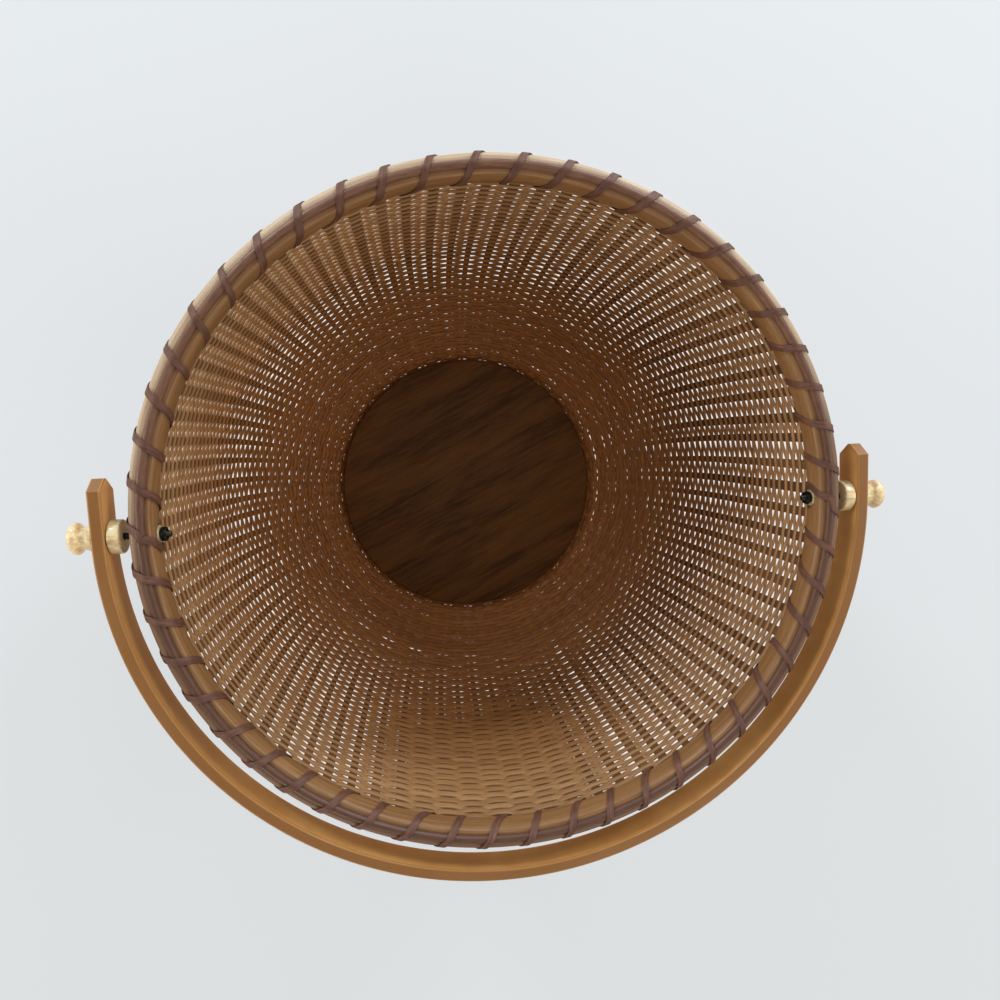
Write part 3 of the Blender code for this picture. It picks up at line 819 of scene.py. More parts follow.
@dataclass
class Base:
    """Turned wooden base with the groove that holds the staves.

    Attributes:
        edge_round: radius of the eased edges.
        groove_half: half the groove's height.
        groove_depth: depth of the groove.
        segments: steps round.
        edge_steps: steps round an eased edge.
    """

    edge_round: float = 0.0008
    groove_half: float = 0.0013
    groove_depth: float = 0.0050
    segments: int = 160
    edge_steps: int = 5

    def outline(self, radius: float, thickness: float) -> np.ndarray:
        """Outline from the underside's centre round the edge to the top's centre, quarter circles at the edges.

        Args:
            radius: outer radius.
            thickness: height of the base.

        Returns:
            Points as radius and height.
        """
        quarter = np.linspace(0, math.pi / 2, self.edge_steps)
        ease = self.edge_round
        inset = radius - ease
        middle = thickness / 2
        low = np.stack([inset + ease * np.sin(quarter), ease - ease * np.cos(quarter)], axis=1)
        high = np.stack([inset + ease * np.cos(quarter), thickness - ease + ease * np.sin(quarter)], axis=1)
        floor = radius - self.groove_depth
        groove = np.array([
            (radius, middle - self.groove_half), (floor, middle - self.groove_half),
            (floor, middle + self.groove_half), (radius, middle + self.groove_half),
        ])
        return np.vstack([[(0.0, 0.0)], low, groove, high, [(0.0, thickness)]])

    def build(self, layout: Layout) -> None:
        """Make and dress the base.

        Args:
            layout: sizes that pieces share.
        """
        grid = turned(self.outline(layout.base_radius, layout.base_thickness), self.segments)
        item = close_poles(piece("walnut_base", grid, ring=True))
        settle(item, WALNUT, WALNUT.material(), Body.BASKET, "base_disc")


@dataclass(frozen=True)
class WallProfile:
    """Middle of the wall's thickness, as a curve of radius and height.

    The wall leaves the base's groove level, bends up at the foot and rises on one cubic curve to the rim, then
    runs straight up between the hoops. Lengths along it count from the foot.

    Attributes:
        layout: shared sizes.
        shoulder_drop: depth below the hoops' upper edges at which the curve ends.
        tongue: depth of the staves in the groove.
        standoff: distance from the base's edge to the foot of the curve.
        foot_angle: slope at which the wall leaves the base.
        foot_reach: how far that slope carries.
        flare_angle: lean of the wall below the rim.
        rim_reach: how far that lean carries.
        samples: points worked out along the curve.
    """

    layout: Layout
    shoulder_drop: float = 0.0122
    tongue: float = 0.0047
    standoff: float = 0.0008
    foot_angle: float = math.radians(29)
    foot_reach: float = 0.0490
    flare_angle: float = math.radians(3)
    rim_reach: float = 0.1116
    samples: int = 400

    def curve(self) -> tuple[np.ndarray, np.ndarray]:
        """Sample the whole profile.

        The cubic is (1-u)^3 A + 3 (1-u)^2 u B + 3 (1-u) u^2 C + u^3 D.

        Returns:
            Points (samples, 2) as radius and height, and each one's length along the wall from the foot.
        """
        middle = self.layout.base_thickness / 2
        foot = np.array([self.layout.base_radius + self.standoff, middle])
        shoulder = np.array([self.layout.wall_radius, self.layout.hoop_high - self.shoulder_drop])
        leaving = foot + self.foot_reach * np.array([math.cos(self.foot_angle), math.sin(self.foot_angle)])
        lean = np.array([math.sin(self.flare_angle), math.cos(self.flare_angle)])
        arriving = shoulder - self.rim_reach * lean
        u = np.linspace(0, 1, self.samples)[:, None]
        cubic = ((1 - u) ** 3 * foot + 3 * (1 - u) ** 2 * u * leaving
                 + 3 * (1 - u) * u ** 2 * arriving + u ** 3 * shoulder)
        inner = np.array([[self.layout.base_radius - self.tongue, middle]])
        upper = np.array([[self.layout.wall_radius, self.layout.hoop_high]])
        points = np.vstack([inner, cubic, upper])
        length = np.concatenate([[0], np.cumsum(np.linalg.norm(np.diff(points, axis=0), axis=1))])
        return points, length - length[1]

    def place(self, run: np.ndarray) -> tuple[np.ndarray, np.ndarray]:
        """Find points on the wall and the directions into the basket there.

        Args:
            run: lengths along the wall from the foot.

        Returns:
            Points and unit normals, each (..., 2) as radius and height.
        """
        points, length = self.curve()
        slope = unit(np.gradient(points, length, axis=0))
        at = [np.stack([np.interp(run, length, table[:, k]) for k in (0, 1)], axis=-1) for table in (points, slope)]
        spot, way = at[0], unit(at[1])
        return spot, np.stack([-way[..., 1], way[..., 0]], axis=-1)


@dataclass(frozen=True)
class PackedPlace:
    """Part of the wall where the cane is packed tighter, so the holes close, or looser, so that they open.

    Attributes:
        angle: middle of the place, about Z from +X.
        half_angle: how far it reaches each way.
        row: middle of the place, in rows from the base.
        half_rows: how far it reaches up and down.
        extra: extra width of the cane there, less than 0 for a loose place.
    """

    angle: float
    half_angle: float
    row: float
    half_rows: float
    extra: float

    def widening(self, angle: np.ndarray, row: np.ndarray) -> np.ndarray:
        """Extra width: extra exp(-(turn / half_angle)^4 - (rise / half_rows)^4), flat in the middle.

        Args:
            angle: angles about Z.
            row: rows from the base.

        Returns:
            Extra width at each point.
        """
        turn = np.abs((angle - self.angle + math.pi) % math.tau - math.pi) / self.half_angle
        rise = (row - self.row) / self.half_rows
        return self.extra * np.exp(-turn ** 4 - rise ** 4)


@dataclass
class Wall:
    """Staves and the cane woven over and under them.

    Attributes:
        profile: the wall's middle.
        staves: number of staves, odd so that one weaver alternates from turn to turn.
        phase: place of the first stave's middle, in stave pitches from +X.
        stave_width_low: width of a stave at the base.
        stave_width_high: width of a stave at the rim.
        stave_thickness: thickness of a stave.
        stave_sway: spread of the staves' places, in pitches.
        stave_spread: spread of the staves' widths, as a share.
        stave_rows: points along a stave.
        stave_sides: points round a stave.
        stave_squareness: how square a stave's section is.
        least_painted_shade: least tone of a stave above the closed rows.
        row_pitch: height of one row of weave along the wall.
        turns: rows of weave above the foot.
        buried_turns: rows that start inside the groove.
        first_row: middle of the first row, from the foot.
        cane_width: width of the cane.
        cane_thickness: thickness of the cane.
        cane_sides: points round the cane.
        cane_squareness: how square the cane's section is.
        close_extra: extra width of the cane in the closed rows at the base.
        close_rows: number of closed rows.
        open_rows: row from which the holes have their full size.
        packed_places: parts of the wall where the cane is packed tighter or looser.
        reach: how far the cane's middle goes to each side of the wall's middle.
        crossing: how sharply the cane goes from one side of the wall to the other.
        wander: spread of the rows' small height errors.
        drift: spread of the rows' slow height errors.
        drift_length: length of a slow error, in staves.
        points_per_stave: points along the cane for each stave.
        lengths: separate lengths of cane that make the weave.
        tone_length: length over which the cane's tone changes, in staves.
        seed: seed of the random numbers.
    """

    profile: WallProfile
    staves: int = 77
    phase: float = 0.25
    stave_width_low: float = 0.0022
    stave_width_high: float = 0.0043
    stave_thickness: float = 0.0005
    stave_sway: float = 0.04
    stave_spread: float = 0.08
    stave_rows: int = 40
    stave_sides: int = 8
    stave_squareness: float = 6.0
    # least_painted_shade: least painted shade on a stave above the closed rows, where the staves show as shaded slits.
    least_painted_shade: float = 0.75
    row_pitch: float = 0.00223
    turns: int = 73
    buried_turns: int = 1
    first_row: float = 0.0012
    cane_width: float = 0.00190
    cane_thickness: float = 0.00108
    cane_sides: int = 8
    cane_squareness: float = 2.4
    close_extra: float = 0.00050
    close_rows: float = 14.0
    open_rows: float = 36.0
    packed_places: tuple[PackedPlace, ...] = (
        PackedPlace(math.radians(-94), math.radians(24), 56.0, 26.0, 0.00160),
        PackedPlace(math.radians(80), math.radians(24), 60.0, 20.0, 0.00014),
        PackedPlace(math.radians(-30), math.radians(45), 72.0, 16.0, -0.00022),
        PackedPlace(math.radians(140), math.radians(48), 60.0, 22.0, -0.00046),
    )
    reach: float = 0.00062
    crossing: float = 1.1
    wander: float = 0.00010
    drift: float = 0.00010
    drift_length: float = 9.0
    points_per_stave: int = 8
    lengths: int = 5
    tone_length: float = 45.0
    seed: int = 77

    def stave_grids(self, random: np.random.Generator) -> tuple[np.ndarray, np.ndarray]:
        """Lay out every stave: a boxy section carried up the profile at the stave's own angle.

        Args:
            random: source of the small errors.

        Returns:
            Points (staves, rows, columns, 3) and a tone for each row of each stave: painted shade, 0 at the foot.
        """
        _, length = self.profile.curve()
        run = np.linspace(length[0], length[-1], self.stave_rows)
        spot, inward = self.profile.place(run)
        share = np.clip(run / run[-1], 0, 1)
        width = self.stave_width_low + (self.stave_width_high - self.stave_width_low) * share
        pitch = math.tau / self.staves
        angle = (np.arange(self.staves) + self.phase + random.normal(0, self.stave_sway, self.staves)) * pitch
        size = 1 + random.normal(0, self.stave_spread, self.staves)
        section = squircle(self.stave_sides, self.stave_squareness)
        half = width[None] * size[:, None] / 2
        aside = half[..., None] * section[:, 0]
        deep = self.stave_thickness / 2 * section[:, 1]
        flat = spot[None, :, None] + inward[None, :, None] * deep[:, None]
        flat = np.broadcast_to(flat, (*aside.shape, 2))
        facing = angle[:, None, None]
        grid = round_axis(flat, np.broadcast_to(facing, aside.shape))
        across = np.stack([-np.sin(facing), np.cos(facing), np.zeros_like(facing)], axis=-1)
        # Painted shade: the staves darken above the closed rows, so that they read as the shaded slits between the
        # cane.
        rise = np.clip((run / self.row_pitch - self.close_rows) / (self.open_rows - self.close_rows), 0, 1)
        tone = rise * random.uniform(self.least_painted_shade, 1, self.staves)[:, None]
        return self.profile.layout.oval.stretch(grid + aside[..., None] * across), tone[..., None]

    def cane_path(self, passed: np.ndarray, errors: np.ndarray) -> tuple[np.ndarray, np.ndarray, np.ndarray]:
        """Work out one length of cane as it spirals up the wall.

        Having passed p staves, the cane lies at length first_row + row_pitch p / staves along the wall. Its
        depth is reach tanh(c cos(pi p)) / tanh(c): inside the even staves and outside the odd ones, which swap
        at each turn because the number of staves is odd.

        Args:
            passed: staves passed at each point, counted from the first row above the foot.
            errors: height error at each point.

        Returns:
            Middle points, directions into the basket, and angles.
        """
        angle = (passed + self.phase) * math.tau / self.staves
        run = self.first_row + self.row_pitch * passed / self.staves + errors
        spot, inward = self.profile.place(run)
        depth = self.reach * np.tanh(self.crossing * np.cos(math.pi * passed)) / math.tanh(self.crossing)
        middle = self.profile.layout.oval.stretch(round_axis(spot + inward * depth[:, None], angle))
        return middle, round_axis(inward, angle), angle

    def width_along(self, passed: np.ndarray, angle: np.ndarray) -> np.ndarray:
        """Width of the cane: its own, more in the closed rows by a smooth step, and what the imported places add.

        Args:
            passed: staves passed at each point.
            angle: angle at each point.

        Returns:
            Width at each point.
        """
        row = passed / self.staves
        step = np.clip((row - self.close_rows) / (self.open_rows - self.close_rows), 0, 1)
        width = self.cane_width + self.close_extra * (1 - step * step * (3 - 2 * step))
        for place in self.packed_places:
            width = width + place.widening(angle, row)
        return width

    def build(self) -> None:
        """Make and dress the staves and each length of cane."""
        random = np.random.default_rng(self.seed)
        grid, tone = self.stave_grids(random)
        settle(piece("oak_staves", grid, ring=False, tone=tone), STAVE_OAK, STAVE_OAK.material(), Body.BASKET,
               "woven_wall")
        first = -self.buried_turns * self.staves
        crossings = np.arange(first, self.turns * self.staves + 1)
        small = random.normal(0, self.wander, len(crossings))
        slow = random.normal(0, self.drift, round(len(crossings) / self.drift_length) + 2)
        tones = random.uniform(0, 1, round(len(crossings) / self.tone_length) + 2)
        material = WEAVER_CANE.material()
        section = squircle(self.cane_sides, self.cane_squareness)
        cuts = np.linspace(first, crossings[-1], self.lengths + 1)
        for number, (start, stop) in enumerate(zip(cuts, cuts[1:]), 1):
            passed = np.linspace(start, stop, round((stop - start) * self.points_per_stave) + 1)
            since = passed - first
            errors = (np.interp(passed, crossings, small)
                      + np.interp(since / self.drift_length, np.arange(len(slow)), slow))
            middle, inward, angle = self.cane_path(passed, errors)
            size = np.stack([self.width_along(passed, angle), np.full_like(passed, self.cane_thickness)], axis=-1)
            shade = np.interp(since / self.tone_length, np.arange(len(tones)), tones)
            grid = swept(middle, inward, size[:, None] / 2 * section)
            item = piece(f"cane_weave_{number}", grid, ring=False, tone=shade[:, None])
            settle(item, WEAVER_CANE, material, Body.BASKET, "woven_wall")


@dataclass
class Rim:
    """Half-round hoops, the cap over them and the lashing round all three.

    Attributes:
        layout: shared sizes.
        edge_thickness: thickness of a hoop at its edges.
        face_points: points round a hoop's face.
        segments: steps round the rim.
        unevenness: height of the hoops' hand-made wave.
        waves: for each part of that wave, how often it goes round, where it starts and its share of the height.
        bulge_power: how full the hoops' faces are.
        cap_width: width of the cap.
        cap_points: points round the cap's crown.
        cap_edge: height of the cap's sides over its thickness.
        cap_power: how flat the cap's crown is.
        seat_room: room round a washer in its flat seat.
        seat_segments: steps round that seat.
        stitches: turns of the lashing.
        stitch_start: angle at which the first turn crosses the cap.
        drift: slow error of the turns' places, as an angle.
        drift_place: angle at which that error is largest.
        strip_width: width of the lashing strip.
        strip_thickness: thickness of the lashing strip.
        strip_points: points along one turn.
        strip_sides: points round the strip.
        strip_squareness: how square its section is.
        directions: directions in which one taut turn is worked out.
        strip_lift: distance from the strip's middle to what it lies on.
        settle_share: share of a turn over which the strip leaves a gap between staves for its own even place.
        sway: spread of the stitches' places over the cap, as an angle.
        spread: spread of the strip's width, as a share.
        pivot_room_inside: half the width kept clear for a washer.
        pivot_room_outside: half the width kept clear for a bolt.
        pivot_spread: height over which the strip steers round a pivot.
        pivot_reach: how far from a pivot the strip is steered, in stave pitches.
        lit_angle: angle at the middle of the lit side of the rim, where no shade is painted.
        lit_end: cosine of the angle from there at which painted shade starts to darken the rim.
        shade_fade: drop of that cosine over which the painted shade comes in fully.
        seed: seed of the random numbers.
    """

    layout: Layout
    edge_thickness: float = 0.0010
    face_points: int = 15
    segments: int = 308
    unevenness: float = 0.00015
    waves: tuple[tuple[int, float, float], ...] = ((3, 1.0, 1.0), (5, 2.0, 1 / 2), (8, 0.0, 1 / 3))
    bulge_power: float = 0.8
    cap_width: float = 0.0034
    cap_points: int = 11
    cap_edge: float = 0.2
    cap_power: float = 2.6
    seat_room: float = 0.0003
    seat_segments: int = 48
    stitches: int = 50
    stitch_start: float = math.radians(-1.1)
    drift: float = math.radians(0.9)
    drift_place: float = math.radians(130)
    strip_width: float = 0.0027
    strip_thickness: float = 0.00040
    strip_points: int = 40
    strip_sides: int = 10
    strip_squareness: float = 5.0
    directions: int = 720
    strip_lift: float = 0.00035
    settle_share: float = 0.3
    sway: float = 0.0040
    spread: float = 0.06
    pivot_room_inside: float = 0.0049
    pivot_room_outside: float = 0.0030
    pivot_spread: float = 0.0062
    pivot_reach: float = 2.0
    lit_angle: float = math.radians(98)
    lit_end: float = 0.4
    shade_fade: float = 0.35
    seed: int = 52

    def wave(self) -> np.ndarray:
        """Small smooth error round the rim: the sum of share sin(count angle + start) over the waves."""
        angle = math.tau * np.arange(self.segments) / self.segments
        return self.unevenness * sum(share * np.sin(count * angle + start) for count, start, share in self.waves)

    # Painted shade: the rim darkens round the side away from the light.
    def rim_painted_shade(self) -> np.ndarray:
        """Painted shade round the rim, darker round the side away from the light: (lit_end - cos(angle - lit_angle)) /
        shade_fade, kept from 0 to 1.
        """
        angle = math.tau * np.arange(self.segments)[:, None] / self.segments
        return np.clip((self.lit_end - np.cos(angle - self.lit_angle)) / self.shade_fade, 0, 1)

    def hoop_outline(self, back: float, face: float) -> np.ndarray:
        """Outline of a half-round hoop: a face that bulges as an ellipse from thin edges, and a flat back.

        Args:
            back: radius of the flat back.
            face: radius of the furthest point of the face.

        Returns:
            Points as radius and height, the face first.
        """
        low, high = self.layout.hoop_low, self.layout.hoop_high
        sign = math.copysign(1, face - back)
        bulge = abs(face - back) - self.edge_thickness
        angle = np.linspace(-math.pi / 2, math.pi / 2, self.face_points)
        radius = back + sign * (self.edge_thickness + bulge * np.cos(angle) ** self.bulge_power)
        height = (low + high) / 2 + (high - low) / 2 * np.sin(angle)
        return np.vstack([np.stack([radius, height], axis=1), [(back, high), (back, low)]])

    def hoop_grid(self, outline: np.ndarray, sign: float) -> np.ndarray:
        """Turn a hoop's outline round the rim, its face a little uneven.

        Args:
            outline: the hoop's outline.
            sign: 1 for the outer hoop, -1 for the inner one.

        Returns:
            Grid of points.
        """
        varied = np.repeat(outline[None], self.segments, axis=0)
        varied[:, 1:self.face_points - 1, 0] += sign * self.wave()[:, None]
        return self.layout.oval.stretch(turned(varied, self.segments))

    def cap_outline(self) -> np.ndarray:
        """Outline of the crowned cap: a flat underside, short sides and a top that rises as (1 - x^power).

        Returns:
            Closed outline, (points, 2), as radius and height.
        """
        low, high = self.layout.hoop_high, self.layout.rim_top
        x = np.linspace(-1, 1, self.cap_points)
        radius = self.layout.wall_radius + self.cap_width / 2 * x
        side = self.cap_edge * (high - low)
        height = low + side + (high - low - side) * (1 - np.abs(x) ** self.cap_power)
        return np.vstack([np.stack([radius, height], axis=1), [(radius[-1], low), (radius[0], low)]])

    def taut_turn(self, outlines: list[np.ndarray]) -> tuple[np.ndarray, np.ndarray]:
        """One taut turn of the strip in section.

        In each direction (cos a, sin a) the strip touches the point of hoops and cap that lies furthest that
        way, and its middle lies one lift further out. The turn starts under the wall, and goes up the inside,
        over the cap and down the outside.

        Args:
            outlines: outlines of the hoops and the cap.

        Returns:
            Middle points and outward directions, each (strip_points, 2) as radius and height.
        """
        body = np.vstack(outlines)
        angle = -math.pi / 2 - math.tau * (np.arange(self.directions) + 0.5) / self.directions
        way = np.stack([np.cos(angle), np.sin(angle)], axis=1)
        loop = body[np.argmax(way @ body.T, axis=1)] + way * self.strip_lift
        start = [(self.layout.wall_radius, self.layout.hoop_low - self.strip_lift)]
        loop = np.vstack([start, loop, start])
        way = np.vstack([[(0.0, -1.0)], way, [(0.0, -1.0)]])
        shares = np.arange(self.strip_points) / self.strip_points
        return equal_steps(loop, loop, shares), unit(equal_steps(loop, way, shares))

    def lashing_path(self, outlines: list[np.ndarray], staves: int, phase: float,
                     random: np.random.Generator) -> tuple[np.ndarray, np.ndarray]:
        """Wind the strip round the rim.

        The turns cross the cap at even angles, with a slow error drift cos(angle - drift_place) and a small
        random one, and the angle moves evenly from halfway before a turn to halfway after it. Below the hoops
        each turn goes through the nearest gap between staves: that correction fades as (1 - share / settle)^2.
        Where the strip would come too near a pivot, its angle is pushed away, most at the pivot's height.

        Args:
            outlines: outlines of the hoops and the cap.
            staves: number of staves.
            phase: place of the first stave, in stave pitches.
            random: source of the small errors.

        Returns:
            Middle points and outward directions.
        """
        pitch = math.tau / staves
        even = self.stitch_start - np.arange(self.stitches) * math.tau / self.stitches
        centre = even + self.drift * np.cos(even - self.drift_place) + random.normal(0, self.sway, self.stitches)
        start = (centre + np.concatenate([[centre[-1] + math.tau], centre[:-1]])) / 2
        start = np.append(start, start[0] - math.tau)
        off_gap = (np.round(start / pitch - phase - 0.5) + phase + 0.5) * pitch - start
        share = np.arange(self.strip_points) / self.strip_points
        flat, outward = self.taut_turn(outlines)
        leaving = np.clip(1 - share / self.settle_share, 0, 1) ** 2
        arriving = np.clip(1 - (1 - share) / self.settle_share, 0, 1) ** 2
        angle = start[:-1, None] + np.diff(start)[:, None] * share
        angle = angle + off_gap[:-1, None] * leaving + off_gap[1:, None] * arriving
        radius, height = flat.T
        near = np.exp(-((height - self.layout.pivot_height) / self.pivot_spread) ** 2)
        is_inside = radius < self.layout.wall_radius
        room = np.where(is_inside, self.pivot_room_inside, self.pivot_room_outside) / radius * near
        for side in Side:
            off = (angle - side.value + math.pi) % math.tau - math.pi
            for half in (is_inside, ~is_inside):
                weight = near * half
                lean = np.sign((off * weight).sum(axis=1, keepdims=True) / weight.sum())
                close = np.abs(off) < pitch * self.pivot_reach
                angle = angle + np.clip(room - lean * off, 0, None) * lean * close * half
        spots = round_axis(np.broadcast_to(flat, (*angle.shape, 2)), angle)
        ways = round_axis(np.broadcast_to(outward, (*angle.shape, 2)), angle)
        return self.layout.oval.stretch(spots.reshape(-1, 3)), ways.reshape(-1, 3)

    def cut_seat(self, hoop: bpy.types.Object, side: Side) -> None:
        """Cut the flat round seat for a washer into the inner hoop.

        Args:
            hoop: the inner hoop.
            side: which pivot the seat is at.
        """
        low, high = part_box(f"pivot_washer_{side.name.lower()}")
        radius = high.z - self.layout.pivot_height + self.seat_room
        deep = max(abs(low.x), abs(high.x)) + self.seat_room
        near = self.layout.inner_face * (1 - self.layout.oval.share)
        outline = np.array([(0.0, near), (radius, near), (radius, deep), (0.0, deep)])
        grid = along_x(turned(outline, self.seat_segments), self.layout.pivot_height, side)
        cut_away(hoop, close_poles(piece("seat_cutter", grid, ring=True)))

    def build(self, wall: Wall) -> None:
        """Make and dress both hoops, the cap and the lashing.

        Args:
            wall: the wall, for the gaps between its staves.
        """
        random = np.random.default_rng(self.seed)
        inner_outline = self.hoop_outline(self.layout.inner_back, self.layout.inner_face)
        outer_outline = self.hoop_outline(self.layout.outer_back, self.layout.outer_face)
        inner = piece("rattan_inner_hoop", self.hoop_grid(inner_outline, -1), ring=True)
        for side in Side:
            self.cut_seat(inner, side)
        settle(inner, HOOP_RATTAN, HOOP_RATTAN.material(), Body.BASKET, "inner_hoop")
        # The outer hoop and the cap take painted shade round the rim, darker on the side away from the light.
        outer = piece("rattan_outer_hoop", self.hoop_grid(outer_outline, 1), ring=True, tone=self.rim_painted_shade())
        settle(outer, PAINTED_SHADE_RATTAN, PAINTED_SHADE_RATTAN.material(), Body.BASKET, "outer_hoop")
        cap_outline = self.cap_outline()
        cap_grid = self.layout.oval.stretch(turned(cap_outline, self.segments))
        cap = piece("cane_cap", cap_grid, ring=True, tone=self.rim_painted_shade())
        settle(cap, CAP_CANE, CAP_CANE.material(), Body.BASKET, "rim_cap")
        outlines = [inner_outline, cap_outline, outer_outline]
        middle, outward = self.lashing_path(outlines, wall.staves, wall.phase, random)
        stitch = np.arange(len(middle)) / self.strip_points
        size = 1 + np.interp(stitch, np.arange(self.stitches + 1), random.normal(0, self.spread, self.stitches + 1))
        flat = (self.strip_width / 2, self.strip_thickness / 2)
        section = squircle(self.strip_sides, self.strip_squareness) * flat
        widths = np.stack([size, np.ones_like(size)], axis=-1)[:, None]
        strip = piece("cane_lashing", swept(middle, outward, section * widths), ring=False)
        settle(strip, LASHING_CANE, LASHING_CANE.material(), Body.BASKET, "rim_lashing")


@dataclass
class Handle:
    """Bent bow with straight tails past its pivots, each clipped to a blunt point.

    Attributes:
        thickness: thickness of the handle.
        tail: length of a tail past the pivot.
        clip: length of the clipped end.
        tip_width: width of the tip.
        edge_round: radius of the long edges.
        flat_margin: width of the strip beside an edge that keeps the flat faces' shading flat.
        corner_painted_shade: painted shade on the upper long edges.
        upper_painted_shade: painted shade on the inner face beside its upper edge; it fades across the face and evens
            out the shade that the rim throws on the face's lower part.
        outer_tone: tone of the outer face.
        corner_points: points round one long edge.
        bow_rows: steps round the bow.
        tail_rows: steps along a tail.
    """

    thickness: float = 0.0047
    tail: float = 0.0210
    clip: float = 0.0042
    tip_width: float = 0.0020
    edge_round: float = 0.0008
    flat_margin: float = 0.00015
    corner_painted_shade: float = 0.8
    upper_painted_shade: float = 0.55
    outer_tone: float = 0.5
    corner_points: int = 4
    bow_rows: int = 120
    tail_rows: int = 8

    def section(self, width: np.ndarray) -> np.ndarray:
        """Box section with rounded corners: a quarter circle about each corner's centre, and a point on both flats.

        Args:
            width: width of the handle at each row.

        Returns:
            Points (rows, columns, 2) as offsets across and outwards.
        """
        quarter = np.linspace(0, math.pi / 2, self.corner_points)
        slide = np.concatenate([[-self.flat_margin], np.zeros_like(quarter), [self.flat_margin]])
        turn = np.concatenate([quarter[:1], quarter, quarter[-1:]]) + np.arange(4)[:, None] * math.pi / 2
        facing = np.stack([np.cos(turn), np.sin(turn)], axis=-1)
        onward = np.stack([-np.sin(turn), np.cos(turn)], axis=-1)
        rounding = self.edge_round * facing + slide[:, None] * onward
        half = np.stack([width / 2, np.full_like(width, self.thickness / 2)], axis=1)[:, None, None]
        sign = np.array([(1, 1), (-1, 1), (-1, -1), (1, -1)])[:, None]
        return (sign * (half - self.edge_round) + rounding).reshape(len(width), -1, 2)

    def build(self, layout: Layout) -> None:
        """Make and dress the handle.

        The middle line is a half oval on the -Y side, with a straight tail at each end. U runs from tip to tip.
        The tone is 1 on the narrow sides and less on the upper long edges, on the outer face and inside near the top.
        On the sides, the edges and inside it is painted shade; inside it evens out the shade that the rim throws on
        the face's lower part.

        Args:
            layout: shared sizes.
        """
        low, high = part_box("swing_handle")
        side = high.x - self.thickness / 2
        front = -low.y - self.thickness / 2
        tail = np.concatenate([[self.tail], np.linspace(self.tail - self.clip, 0, self.tail_rows)[:-1]])
        bow = np.linspace(0, math.pi, self.bow_rows)
        x = side * np.concatenate([np.ones_like(tail), np.cos(bow), -np.ones_like(tail)])
        y = np.concatenate([tail, -front * np.sin(bow), tail[::-1]])
        middle = np.stack([x, y, np.full_like(x, layout.pivot_height)], axis=1)
        width = np.full(len(x), high.z - low.z)
        width[[0, -1]] = self.tip_width
        outward = np.stack([x, np.minimum(y, 0), np.zeros_like(x)], axis=1)
        section = self.section(width)
        # Painted shade: the narrow sides and upper edges darker, and the inner face darker near the top to even out
        # the rim's shade.
        is_edge = np.abs(section[..., 1]) < self.thickness / 2 - self.edge_round / 2
        is_corner = section[..., 0] > width[:, None] / 2 - self.edge_round - self.flat_margin / 2
        inner_tone = np.where(section[..., 0] > 0, self.upper_painted_shade, 0.0)
        face_tone = np.where(section[..., 1] > 0, self.outer_tone, inner_tone)
        tone = np.where(is_edge, 1.0, np.where(is_corner, self.corner_painted_shade, face_tone))
        item = piece("bent_handle", swept(middle, outward, section), ring=False, tone=tone)
        settle(item, HANDLE_ASH, HANDLE_ASH.material(), Body.HANDLE, "swing_handle")


